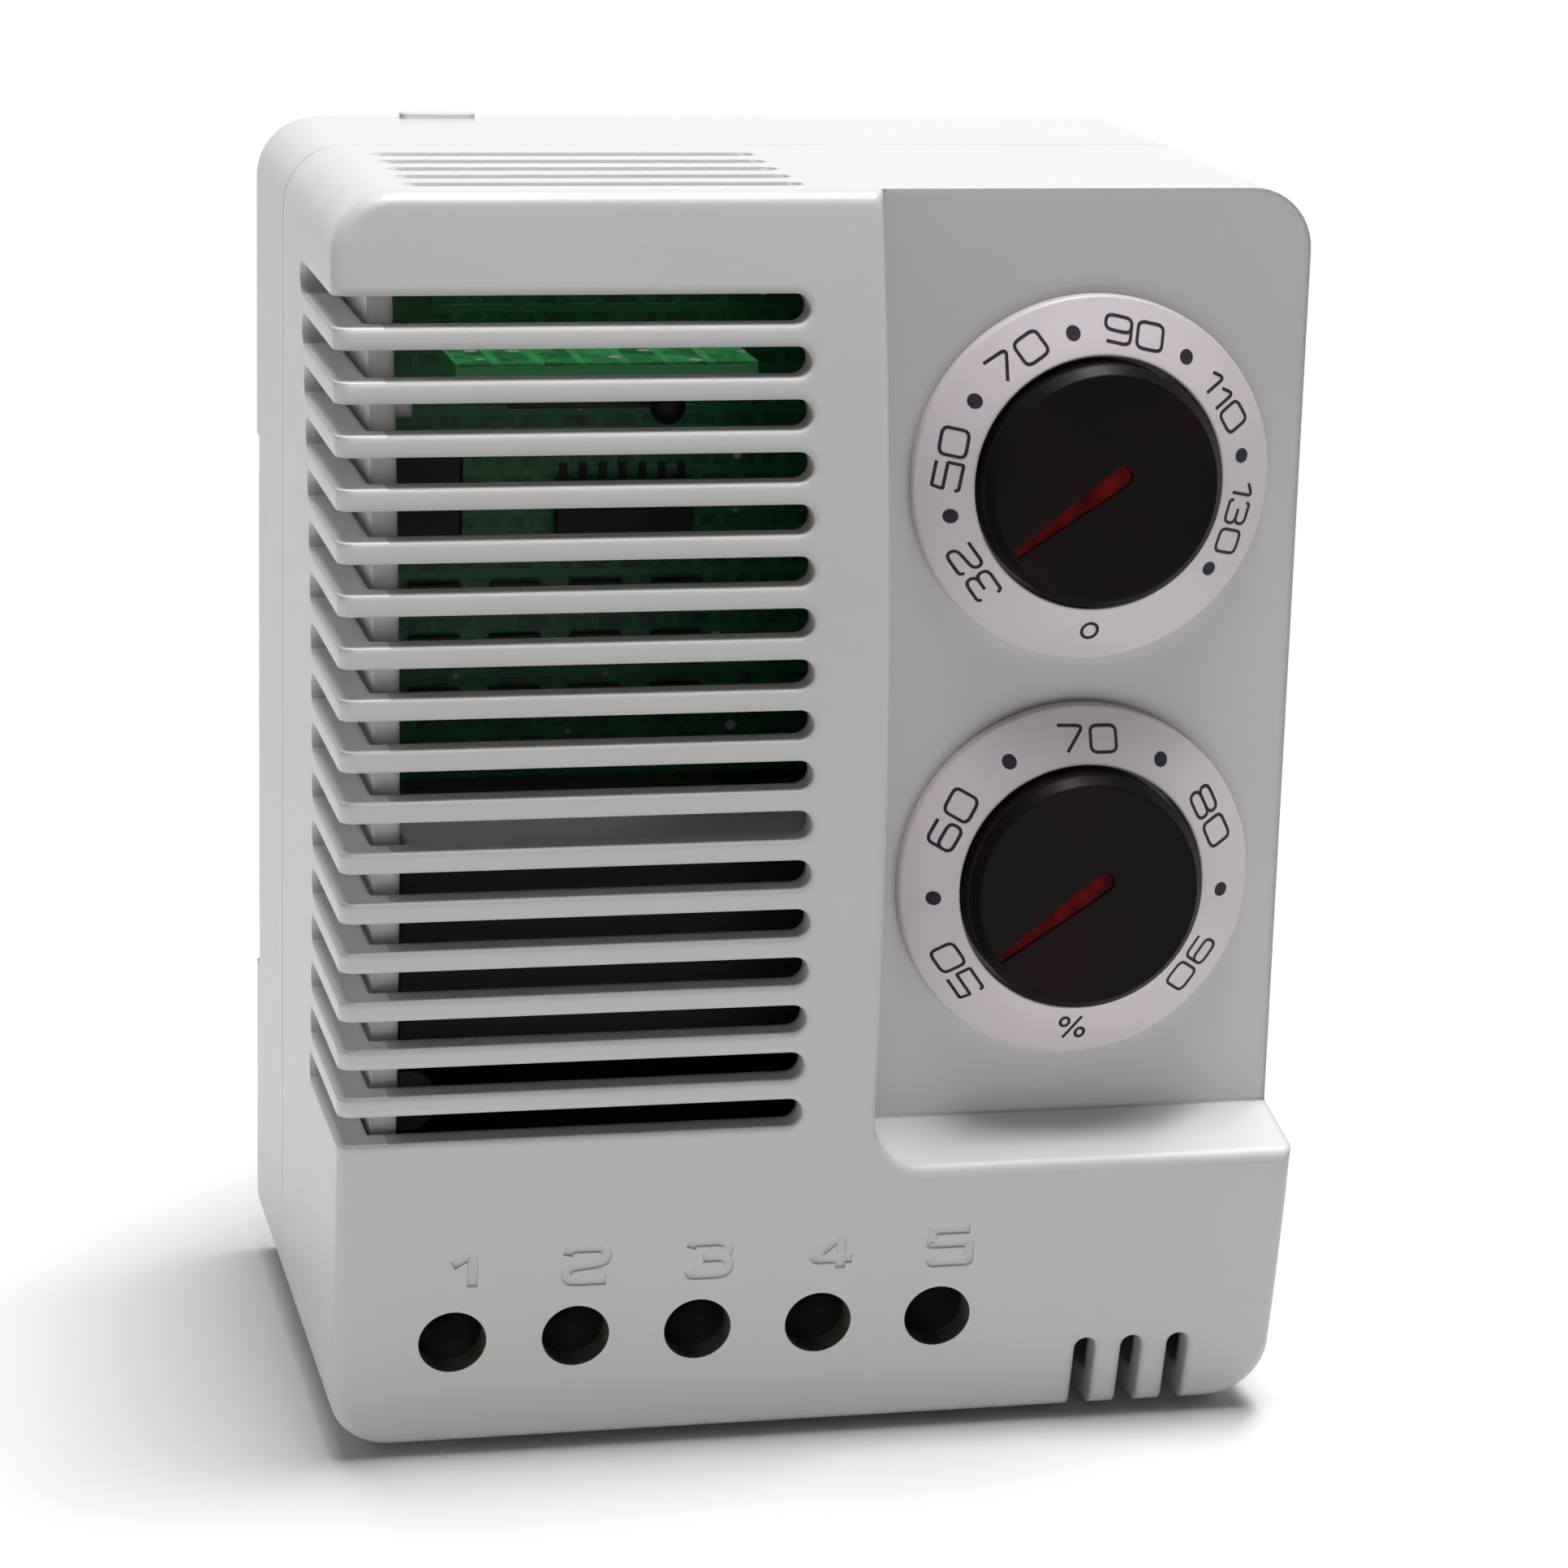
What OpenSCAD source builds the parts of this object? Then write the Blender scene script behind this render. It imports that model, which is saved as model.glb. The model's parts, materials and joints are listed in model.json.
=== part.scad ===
// Temperature and humidity controller for a 35 mm mounting rail.
// Lengths are millimetres. X points right, Y points to the rear and Z points up.
// The origin is the middle of the face that rests on the rail.

/* [Housing] */
// Width of the housing
body_w = 60; // [57:0.5:66]
// Height of the housing
body_h = 77; // [74:0.5:84]
// Depth from the crown of the front to the rear face
body_d = 43; // [41:0.5:47]
// Corner radius of the housing seen from the front
corner_r = 3.8; // [3:0.1:4.5]
// Wall thickness of the cover and the base
wall = 2; // [1.8:0.1:2.2]
// Depth of the rear base, from the parting line to the rear face
base_d = 14.6; // [14.2:0.1:15]
// Radius of the curved front, bent about X
face_r = 141; // [135:1:170]
// Distance from mid-height down to the crown of the front
crown_drop = 3.2; // [2.4:0.2:4]

/* [Dial recess] */
// Width of the recess, from the right side
recess_w = 27; // [26:0.2:28]
// Depth of the recess floor behind the crown
recess_d = 7.3; // [7:0.1:7.8]
// Height of the front edge of the ledge above the bottom
ledge_h = 17.6; // [17:0.2:18.4]
// Rise of the ledge from its front edge to the recess floor
ledge_rise = 1.4; // [1:0.1:1.8]
// Radius of the lower left corner of the recess
recess_corner_r = 3.2; // [2.4:0.2:4]

/* [Vent slots] */
// Number of slots round the left front corner
slot_count = 17; // [15:1:18]
// Distance from the top of the housing to the upper edge of the first slot
slot_top = 5.8; // [5.4:0.1:6]
// Distance from the bottom of the housing to the lower edge of the last slot
slot_low = 20.9; // [20.6:0.1:22]
// Distance from the recess to the round ends of the slots
slot_margin = 4.7; // [4:0.1:6]
// Radius of the line on which the side slots end
slot_back_r = 98; // [90:1:120]

/* [Top and corner vents] */
// Number of slots in the top
top_slot_count = 5; // [3:1:5]
// Width of a top slot
top_slot_w = 1.5; // [1.2:0.1:1.8]
// Number of slots in the lower right corner
corner_slot_count = 3; // [2:1:3]
// Height of the corner slots on the front
corner_slot_h = 5.1; // [4.6:0.1:5.6]

/* [Dials and knobs] */
// Height of a dial plate at its inner edge
dial_h = 2.6; // [2.4:0.1:2.8]
// Height of a dial plate at its outer edge
dial_edge_h = 0.9; // [0.7:0.1:1.1]
// Height of a knob's face above the recess floor
knob_h = 4.3; // [4.2:0.1:4.5]
// Direction of a pointer at rest, clockwise from straight up
pointer_angle = 234; // [230:1:238]

/* [Terminals] */
// Number of terminals
term_count = 5; // [5:1:5]
// Distance from terminal to terminal
term_pitch = 7.62; // [7.5:0.02:7.7]
// Distance from the left side to the first terminal
term_inset = 7.3; // [7:0.1:7.6]
// Height of the terminal screws above the bottom
term_h = 7.3; // [7.1:0.1:7.4]
// Diameter of a screwdriver hole
driver_hole_d = 4.15; // [4:0.05:4.3]
// Diameter of a wire hole in the bottom
wire_hole_d = 4.2; // [4:0.05:4.3]

/* [Rail clip] */
// Height of the mounting rail
rail_h = 35; // [35:1:35]
// Thickness of the rail's lips
lip_t = 1; // [1:0.1:1.1]
// Depth of the rail channel behind the rail seat
channel_d = 1.2; // [1:0.1:1.4]
// Depth of the latch's guides behind the rail seat
clip_d = 4.3; // [4.2:0.1:4.6]
// Overlap of the hooks and the latch on the rail's lips
hook_bite = 2; // [1.8:0.1:2.2]

/* [Hidden] */

// Fineness of round shapes and of the large front curve
$fn = 64;
curve_fn = 360;
// Overrun of a cut past the face it opens
over = 1;
// Clearance of a turning fit, the gap left between pieces that only seat, and the
// gap between round pieces that pass each other
turn_gap = 0.06;
seat_gap = 0.2;
pass_gap = 0.3;
// Least radius of an inner corner
least_r = 0.3;
// Grid to which sizes taken from shares are rounded
grid = 0.01;
function on_grid(v) = round(v / grid) * grid;

// Planes of the housing
left = -body_w / 2;
right = body_w / 2;
bottom = -body_h / 2;
top = body_h / 2;
rear_y = channel_d;
crown_y = rear_y - body_d;
crown_z = -crown_drop;
curve_y = crown_y + face_r;
part_y = rear_y - base_d;
cover_d = body_d - base_d;
floor_y = crown_y + recess_d;
recess_x = right - recess_w;
recess_h = body_h - ledge_h;
ledge_z = bottom + ledge_h;

// Depth of the curved front, at a height
function face_y(z) = curve_y - sqrt(face_r * face_r - (z - crown_z) * (z - crown_z));

// Slots: share of the pitch that is open, depth on the side as a share of the cover's
slot_open_share = 0.61;
slot_side_share = 0.468;
slot_pitch = on_grid((body_h - slot_top - slot_low) / (slot_count - 1 + slot_open_share));
slot_h = on_grid(slot_open_share * slot_pitch);
slot_side_d = on_grid(slot_side_share * cover_d);
slot_relief = 0.7;
slot_x1 = recess_x - slot_margin;
function slot_z(k) = top - slot_top - slot_h / 2 - k * slot_pitch;
// Depth at which a side slot ends, at a height
function slot_back_y(z) = crown_y + slot_side_d + slot_back_r
    - sqrt(slot_back_r * slot_back_r - (z - crown_z) * (z - crown_z));

// Top vents: places along X, and along Y as shares of the cover's depth
top_slot_end = 4.8;
top_slot_x0 = left + top_slot_end;
top_slot_extra = 0.4;
top_slot_x1 = slot_x1 + top_slot_extra;
top_slot_xm = (top_slot_x0 + top_slot_x1) / 2;
top_slot_y_share = 0.169;
top_slot_pitch_share = 0.123;

// Terminals: places
term_x0 = left + term_inset;
term_z = bottom + term_h;
block_end = 3.75;
block_x0 = term_x0 - block_end;
block_x1 = term_x0 + (term_count - 1) * term_pitch + block_end;

// Corner vents: shares of the width between the terminals and the corner
corner_room = right - corner_r - block_x1;
corner_slot_x_share = 0.627;
corner_slot_pitch_share = 0.207;
corner_slot_open_share = 0.48;
corner_slot_pitch = on_grid(corner_slot_pitch_share * corner_room);
corner_slot_w = on_grid(corner_slot_open_share * corner_slot_pitch);
corner_slot_run = 11;

// Guard wall behind the slots
guard_t = 1.5;
guard_gap = 0.4;
guard_x = left + wall + pass_gap;
guard_reach = 1.5;
guard_lug_w = 1.1;
guard_lug_d = 4;
guard_lug_t = 1.3;

// Tongue of the base inside the cover
tongue_gap = 0.15;
tongue_t = 1;
tongue_h = 2.5;

// Main board
board_y = -16.3;
board_t = 1.6;
board_rear = board_y + board_t;
board_inset = 3.5;
board_x0 = guard_x + guard_t + guard_gap;
board_x1 = right - board_inset;
board_z0 = bottom + board_inset;
board_z1 = top - board_inset;
board_w = board_x1 - board_x0;
board_h = board_z1 - board_z0;
// Room in front of the board, under the curved front and under the recess floor
front_room = board_y - crown_y - wall;
recess_room = board_y - floor_y - wall;

// Shelf below one slot, and the number of slots above that one
shelf_slot_count = 10;
shelf_t = 0.9;
shelf_share = 0.36;
shelf_z = slot_z(shelf_slot_count) - slot_pitch / 2;
shelf_y = on_grid(crown_y + wall / 2 + shelf_share * front_room);

// Dials: places as shares of the recess's height, radii as shares of the dial's
dial_drop_share = 0.2946;
dial_spacing_share = 0.426;
dial_share = 0.415;
dial_height_share = 0.456;
knob_share = 0.664;
hub_hole_share = 0.59;
hub_share = 0.272;
shaft_share = 0.655;
dial_x = right - recess_w / 2;
dial_z1 = on_grid(top - dial_drop_share * recess_h);
dial_z2 = on_grid(dial_z1 - dial_spacing_share * recess_h);
dial_zs = [dial_z1, dial_z2];
dial_r = on_grid(dial_share * min(recess_w, dial_height_share * recess_h));
knob_r = on_grid(knob_share * dial_r);
hub_hole_r = on_grid(hub_hole_share * dial_r);
hub_r = on_grid(hub_share * dial_r);
shaft_r = on_grid(shaft_share * hub_r);
well_r = knob_r + pass_gap;
well_h = 0.8;

// Knobs: skirt, bevel, hub and pointer groove
knob_skirt_h = 1;
knob_top_t = 1.1;
knob_bevel_h = 0.7;
knob_bevel_w = 0.55;
hub_depth = 2.2;
groove_depth = 0.45;
pointer_t = 0.3;
pointer_back_share = 0.247;
pointer_end = 0.6;
pointer_back = on_grid(pointer_back_share * knob_r);
pointer_tip = knob_r - pointer_end;
pointer_w = 1.2;
pointer_tip_w = 0.5;
pointer_gap = 0.04;

// Indicator lamps, between a knob's hub and the edge of its hole
led_offset = on_grid((hub_hole_r + hub_r) / 2);
led_r = on_grid((hub_hole_r - hub_r) / 2 - pass_gap);
led_top_h = 1.7;
led_body_h = 5;
led_rim = 0.15;
led_flange_r = led_r + led_rim;
led_flange_h = 1;
led_lead_w = 0.5;
led_lead_gap = 1.2;

// Potentiometers and their pins
pot_gap = 0.15;
pot_w = 2 * led_offset - led_lead_w - 2 * pot_gap;
pot_h = 6;
pot_wall = 1;
pot_floor_t = 1.2;
rotor_r = pot_w / 2 - pot_wall;
shaft_tip_h = 1.8;
pin_r = 0.4;
pin_hole_r = 0.6;
pin_tail = 1.2;
pot_pin_share = 0.28;
pot_pin_x = on_grid(pot_pin_share * pot_w);

// Terminal block
block_top_y = -28.3;
block_gap = 0.3;
block_h = 9.8;
block_z0 = bottom + wall + block_gap;
block_z1 = block_z0 + block_h;
block_cap_t = 1.6;
block_floor_t = 0.9;
block_back_t = 0.8;
pocket_w = 5.5;
head_r = 1.7;
head_t = 0.95;
head_sink = 0.1;
head_ledge = 0.05;
head_slot_w = 0.6;
head_slot_d = 0.45;
shank_r = 1.2;
shank_gap = 0.08;
shank_end_y = -21.9;
cage_w = 5;
cage_len = 5.2;
cage_wall = 0.7;
cage_top_t = 1.2;
cage_top_y = -24.5;
cage_end_y = -17.7;
cage_floor_t = 0.9;
cage_z0 = term_z - cage_len / 2;
cage_z1 = term_z + cage_len / 2;
contact_gap = 0.15;
contact_y = shank_end_y + contact_gap;
contact_t = 0.8;
contact_w = 2.4;
contact_leg_t = 0.8;
leg_z0 = cage_z1 + contact_gap;
leg_z1 = leg_z0 + contact_leg_t;
wire_space = 2.6;
wire_y = contact_y + contact_t + wire_space / 2;
guide_wall = 0.9;
guide_gap = 0.3;
guide_r = driver_hole_d / 2 + guide_gap;
guide_y = on_grid(face_y(term_z - guide_r - guide_wall) + wall + guide_gap);

// Board screws and the posts they go into
post_r = 2.6;
screw_hole_r = 1.3;
screw_shank_r = 1;
screw_head_r = 2;
screw_head_h = 1.3;
screw_len = 8;
post_inset = 3.3;
post_lift = 3.6;
post_low_z = block_z1 + post_lift;
posts = [[board_x0 + post_inset, board_z1 - post_inset],
    [board_x1 - post_inset, board_z1 - post_inset],
    [board_x0 + post_inset, post_low_z], [board_x1 - post_inset, post_low_z]];

// Sensor board, under the top vents: places as shares of the board and its room
sensor_x_shares = [0.073, 0.424];
sensor_y_shares = [0.272, 0.57];
sensor_drop_share = 0.312;
sensor_x0 = on_grid(board_x0 + sensor_x_shares[0] * board_w);
sensor_x1 = on_grid(board_x0 + sensor_x_shares[1] * board_w);
sensor_xm = (sensor_x0 + sensor_x1) / 2;
sensor_z = on_grid(slot_z(1) - sensor_drop_share * slot_pitch);
sensor_t = 1.2;
sensor_y0 = on_grid(face_y(sensor_z) + sensor_y_shares[0] * front_room);
sensor_y1 = on_grid(face_y(sensor_z) + sensor_y_shares[1] * front_room);
header_pins = 4;
header_pitch = 2.54;
header_t = 2.4;
header_d = 2.2;
header_pin_w = 0.6;
hygro_w = 5;
hygro_d = 4;
hygro_h = 1.3;
hygro_inset = 0.4;
hygro_port_r = 0.9;
hygro_port_depth = 0.6;
bead_r = 1.1;
bead_lead_r = 0.25;
bead_lead_h = 0.8;
bead_lead_gap = 1.2;

// Relay: outside, as shares of the board and of the room in front of it
relay_shares = [0.55, 0.18, 0.955];
relay_l = on_grid(relay_shares[0] * board_w);
relay_w = on_grid(relay_shares[1] * board_h);
relay_h = on_grid(relay_shares[2] * recess_room);
relay_inset = 0.6;
relay_drop = 1.2;
relay_x0 = board_x0 + relay_inset;
relay_x1 = relay_x0 + relay_l;
relay_z1 = shelf_z - shelf_t / 2 - relay_drop;
relay_z0 = relay_z1 - relay_w;
relay_zm = (relay_z0 + relay_z1) / 2;
// Relay: layers from the board to the lid, as shares of its height. They are the
// base, yoke, coil, pole, open gap, armature, blade, button, contact gap and lid.
layer_shares = [0.115, 0.076, 0.395, 0.051, 0.06, 0.07, 0.019, 0.038, 0.035, 0.05];
relay_base_t = on_grid(layer_shares[0] * relay_h);
yoke_t = on_grid(layer_shares[1] * relay_h);
coil_h = on_grid(layer_shares[2] * relay_h);
pole_t = on_grid(layer_shares[3] * relay_h);
arm_gap = on_grid(layer_shares[4] * relay_h);
arm_t = on_grid(layer_shares[5] * relay_h);
blade_t = on_grid(layer_shares[6] * relay_h);
button_t = on_grid(layer_shares[7] * relay_h);
contact_open = on_grid(layer_shares[8] * relay_h);
relay_lid_t = on_grid(layer_shares[9] * relay_h);
stand_t = button_t;
coil_gap = 0.05;
relay_in_y = board_y - relay_base_t;
relay_top_y = board_y - relay_h;
// Relay: places along X as shares of its length. They are the coil, the yoke, the
// armature's reach and tail, the blade's reach and the contact stands' width.
run_shares = [0.25, 0.47, 0.33, 0.1, 0.36, 0.15];
coil_x = on_grid(relay_x0 + run_shares[0] * relay_l);
yoke_x = on_grid(relay_x0 + run_shares[1] * relay_l);
arm_reach = on_grid(run_shares[2] * relay_l);
arm_tail = on_grid(run_shares[3] * relay_l);
blade_reach = on_grid(run_shares[4] * relay_l);
stand_w = on_grid(run_shares[5] * relay_l);
// Relay: radii and widths as shares of its narrow side. They are the core, the spool,
// the pole, the winding, the flange, the button, the blade, the armature and the yoke.
relay_aspect_share = 0.44;
relay_unit = on_grid(min(relay_w, relay_aspect_share * relay_l));
coil_shares = [0.175, 0.205, 0.25, 0.365, 0.41, 0.11, 0.32, 0.63, 0.71];
core_r = on_grid(coil_shares[0] * relay_unit);
spool_r = on_grid(coil_shares[1] * relay_unit);
pole_r = on_grid(coil_shares[2] * relay_unit);
coil_r = on_grid(coil_shares[3] * relay_unit);
flange_r = on_grid(coil_shares[4] * relay_unit);
button_r = on_grid(coil_shares[5] * relay_unit);
blade_w = on_grid(coil_shares[6] * relay_unit);
arm_w = on_grid(coil_shares[7] * relay_unit);
yoke_w = on_grid(coil_shares[8] * relay_unit);
shell_share = 0.061;
relay_shell = on_grid(shell_share * relay_unit);
flange_share = 0.12;
flange_t = on_grid(flange_share * coil_h);
knife_gap = 0.06;
hinge_x = yoke_x + yoke_t / 2;
stand_x = hinge_x + blade_reach - button_r;
coil_y1 = relay_in_y - yoke_t;
coil_y0 = coil_y1 - coil_h;
pole_y = coil_y0 - coil_gap - pole_t;
arm_y1 = pole_y - arm_gap;
blade_y = arm_y1 - arm_t - blade_t;
relay_pin_w = 0.8;
relay_pin_t = 0.5;
relay_pin_xs = [relay_x0 + relay_shell + relay_pin_w, yoke_x - relay_pin_w,
    stand_x - stand_w, stand_x + stand_w / 2];

// Other parts on the board: places and sizes as shares of the board, its room and
// the strip between the terminal block and the relay
strip_h = relay_z0 - block_z1;
tall_share = 0.77;
film_shares = [0.335, 0.62, 0.05];
film_l = on_grid(film_shares[0] * board_w);
film_w = on_grid(film_shares[1] * strip_h);
film_h = on_grid(tall_share * recess_room);
film_gap = 2.1;
film_x0 = board_x0 + post_inset + screw_head_r + film_gap;
film_z0 = on_grid(block_z1 + film_shares[2] * strip_h);
can_shares = [0.672, 0.0956];
can_x = on_grid(board_x0 + can_shares[0] * board_w);
can_r = on_grid(can_shares[1] * board_w);
can_h = on_grid(tall_share * recess_room);
can_lift = 3.5;
can_z = block_z1 + can_r + can_lift;
can_groove_r = 0.35;
can_groove_h = 2.2;
disc_shares = [0.865, 0.088];
disc_x = on_grid(board_x0 + disc_shares[0] * board_w);
disc_r = on_grid(min(disc_shares[1] * board_w, can_h / 2));
disc_t = 3.8;
disc_lead_h = 2;
disc_lead_r = 0.4;
disc_lead_gap = 5;
rect_shares = [0.0765, 0.743];
rect_x = on_grid(board_x0 + rect_shares[0] * board_w);
rect_z = on_grid(board_z0 + rect_shares[1] * board_h);
rect_w = 4.8;
rect_l = 6.5;
rect_h = 2.6;
chip_shares = [0.325, 0.725];
chip_x = on_grid(board_x0 + chip_shares[0] * board_w);
chip_z = on_grid(board_z0 + chip_shares[1] * board_h);
chip_l = 8.7;
chip_w = 4;
chip_h = 1.6;
chip_lead_pitch = 1.27;
chip_lead_w = 0.45;
chip_lead_run = 1;
chip_lead_t = 0.25;
chip_leads = 7;
smd_shares = [0.096, 0.551];
smd_pitch_shares = [0.0994, 0.0486];
smd_x = on_grid(board_x0 + smd_shares[0] * board_w);
smd_z = on_grid(board_z0 + smd_shares[1] * board_h);
smd_pitch_x = on_grid(smd_pitch_shares[0] * board_w);
smd_pitch_z = on_grid(smd_pitch_shares[1] * board_h);
smd_cols = 4;
smd_rows = 3;
smd_l = 3.2;
smd_w = 1.6;
smd_h = 0.7;
drop_shares = [0.612, 0.671];
drop_x = on_grid(board_x0 + drop_shares[0] * board_w);
drop_z = on_grid(board_z0 + drop_shares[1] * board_h);
drop_r = 2.2;
drop_l = 9;
drop_lead_r = 0.4;
drop_lead_run = 2;
drop_lift = 0.4;

// Rail channel, hooks and latch
rail_play = 0.2;
channel_drop = 0.9;
channel_top = rail_h / 2 + rail_play;
channel_low = -rail_h / 2 - channel_drop;
lip_gap = 0.3;
seat_relief = 0.2;
hook_t = 2;
hook_w = 10;
hook_root = 3.2;
hook_share = 0.567;
hook_x = on_grid(hook_share * right);
lug_w = 4.8;
lug_inset = 9.3;
lug_x = left + lug_inset;
lug_h = 0.35;
lug_t = 1.2;
latch_gap = 0.2;
latch_lift = 0.15;
latch_w = 14.2;
latch_t = 3;
latch_y = lip_t + latch_lift;
latch_flange = 1.2;
latch_flange_t = 1.2;
latch_top = -rail_h / 2 + hook_bite;
latch_low = bottom + latch_gap;
latch_chamfer = 1.6;
latch_nose = 0.9;
latch_guide_t = 1.5;
guide_x = latch_w / 2 + latch_flange + latch_gap + latch_guide_t;
latch_post_t = 1.4;
latch_post_lift = 3.8;
latch_post_z = bottom + latch_post_lift;
window_w = 3.9;
spring_share = 0.4775;
spring_len = on_grid(spring_share * (latch_top - latch_post_z - latch_post_t));
window_z0 = latch_post_z - latch_gap;
window_z1 = latch_post_z + latch_post_t + spring_len;
pull_w = 5;
pull_h = 1.1;
pull_lift = 1.3;
pull_z = bottom + pull_lift;
pocket_y = latch_y - latch_gap;
spring_turns = 7;
spring_wire_r = 0.25;
spring_r = 1.3;
spring_rings = 8;
spring_sides = 6;
spring_gap = 0.1;
spring_y = pocket_y + spring_r + spring_wire_r + spring_gap;
spring_seat = 0.02;

// Plain shapes

module block(x0, x1, y0, y1, z0, z1)
    translate([x0, y0, z0]) cube([x1 - x0, y1 - y0, z1 - z0]);

module y_span(y0, y1)
    translate([0, y1, 0]) rotate([90, 0, 0]) linear_extrude(y1 - y0) children();

module x_span(x0, x1)
    translate([x0, 0, 0]) rotate([90, 0, 90]) linear_extrude(x1 - x0) children();

module z_span(z0, z1)
    translate([0, 0, z0]) linear_extrude(z1 - z0) children();

module y_rod(x, z, r, y0, y1)
    translate([x, y1, z]) rotate([90, 0, 0]) cylinder(r = r, h = y1 - y0);

module z_rod(x, y, r, z0, z1)
    translate([x, y, z0]) cylinder(r = r, h = z1 - z0);

module x_rod(y, z, r, x0, x1)
    translate([x0, y, z]) rotate([0, 90, 0]) cylinder(r = r, h = x1 - x0);

module turned(x, y, z)
    translate([x, y, z]) rotate([90, 0, 0]) rotate_extrude() children();

module rounded_rect(x0, x1, z0, z1, r) {
    translate([x0 + r, z0]) square([x1 - x0 - 2 * r, z1 - z0]);
    translate([x0, z0 + r]) square([x1 - x0, z1 - z0 - 2 * r]);
    for (x = [x0 + r, x1 - r], z = [z0 + r, z1 - r]) translate([x, z]) circle(r = r);
}

module round_ended(u0, u1, v, w) {
    translate([u0, v - w / 2]) square([u1 - u0 - w / 2, w]);
    translate([u1 - w / 2, v]) circle(d = w);
}

// Housing

module housing_outline(inset)
    rounded_rect(left + inset, right - inset, bottom + inset, top - inset,
        max(corner_r - inset, least_r));

module front_curve(inset)
    translate([left - over, curve_y, crown_z]) rotate([0, 90, 0])
        cylinder(r = face_r - inset, h = body_w + 2 * over, $fn = curve_fn);

module housing_block(inset, y1)
    intersection() {
        y_span(crown_y, y1) housing_outline(inset);
        front_curve(inset);
    }

module recess_space(grow) {
    cx = recess_x + recess_corner_r;
    cz = ledge_z + recess_corner_r;
    r = recess_corner_r + grow;
    difference() {
        y_span(crown_y - over, floor_y + grow) {
            translate([cx, cz - r]) square([right + over - cx, top + over - cz + r]);
            translate([cx - r, cz]) square([right + over - cx + r, top + over - cz]);
            translate([cx, cz]) circle(r = r);
        }
        x_span(left, right + 2 * over)
            polygon([[face_y(ledge_z), ledge_z - grow],
                [floor_y + grow, ledge_z - grow + ledge_rise],
                [floor_y + grow + over, ledge_z - grow + ledge_rise],
                [floor_y + grow + over, ledge_z - grow - over],
                [face_y(ledge_z), ledge_z - grow - over]]);
    }
}

module vent_slots()
    for (k = [0:slot_count - 1]) {
        z = slot_z(k);
        y_span(crown_y - over, face_y(z) + wall + slot_relief)
            round_ended(left - over, slot_x1, z, slot_h);
        x_span(left - over, left + wall + over)
            round_ended(crown_y - over, slot_back_y(z), z, slot_h);
    }

module top_vents()
    for (k = [0:top_slot_count - 1]) {
        y = part_y - (top_slot_y_share + k * top_slot_pitch_share) * cover_d;
        z_span(top - wall - over, top + over) {
            round_ended(top_slot_xm, top_slot_x1, y, top_slot_w);
            mirror([1, 0]) round_ended(-top_slot_xm, -top_slot_x0, y, top_slot_w);
        }
    }

module corner_vents()
    for (k = [0:corner_slot_count - 1]) {
        x = block_x1 + corner_slot_x_share * corner_room
            + (k - (corner_slot_count - 1) / 2) * corner_slot_pitch;
        z = bottom + corner_slot_h;
        y_span(crown_y, face_y(bottom) + wall + slot_relief)
            rotate(90) round_ended(bottom - over, z, -x, corner_slot_w);
        z_span(bottom - over, bottom + wall + over)
            rotate(90)
                round_ended(crown_y, face_y(bottom) + corner_slot_run, -x, corner_slot_w);
    }

module terminal_holes(r, y0, y1)
    for (k = [0:term_count - 1]) y_rod(term_x0 + k * term_pitch, term_z, r, y0, y1);

module front_cover() color("gainsboro")
    difference() {
        union() {
            difference() {
                housing_block(0, part_y);
                recess_space(0);
                difference() {
                    housing_block(wall, part_y + over);
                    recess_space(wall);
                }
            }
            block(board_x0, recess_x - wall / 2,
                face_y(shelf_z) + wall / 2, shelf_y,
                shelf_z - shelf_t / 2, shelf_z + shelf_t / 2);
        }
        vent_slots();
        top_vents();
        corner_vents();
        terminal_holes(driver_hole_d / 2, crown_y, block_top_y);
        for (k = [0:term_count - 1])
            z_rod(term_x0 + k * term_pitch, wire_y, wire_hole_d / 2, bottom - over,
                bottom + wall + over);
        for (z = dial_zs)
            y_rod(dial_x, z, hub_hole_r, floor_y - over, floor_y + wall + over);
    }

module guard_wall()
    intersection() {
        block(guard_x, guard_x + guard_t, crown_y, -wall / 4,
            slot_z(slot_count - 1) - slot_h / 2 - guard_reach,
            slot_z(0) + slot_h / 2 + guard_reach);
        front_curve(wall + guard_gap);
    }

module guard_lug() {
    y0 = face_y(sensor_z) + wall + guard_gap + guard_gap;
    block(guard_x + guard_t / 2, guard_x + guard_t + guard_lug_w, y0, y0 + guard_lug_d,
        sensor_z - sensor_t - guard_lug_t, sensor_z - sensor_t);
}

module base_cavity() {
    inner_y = rear_y - wall;
    difference() {
        y_span(part_y - over, inner_y) housing_outline(wall);
        block(left, right, -wall, rear_y, channel_low - wall, channel_top + wall);
        block(-guide_x, guide_x, pocket_y - wall, rear_y, bottom, channel_low);
    }
}

module latch_space() {
    main_x = latch_w / 2 + latch_gap;
    groove_x = main_x + latch_flange;
    block(-main_x, main_x, pocket_y, clip_d + over, bottom - over, channel_low + over);
    block(-groove_x, groove_x, pocket_y, latch_y + latch_flange_t + latch_gap,
        bottom - over, channel_low + over);
}

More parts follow.
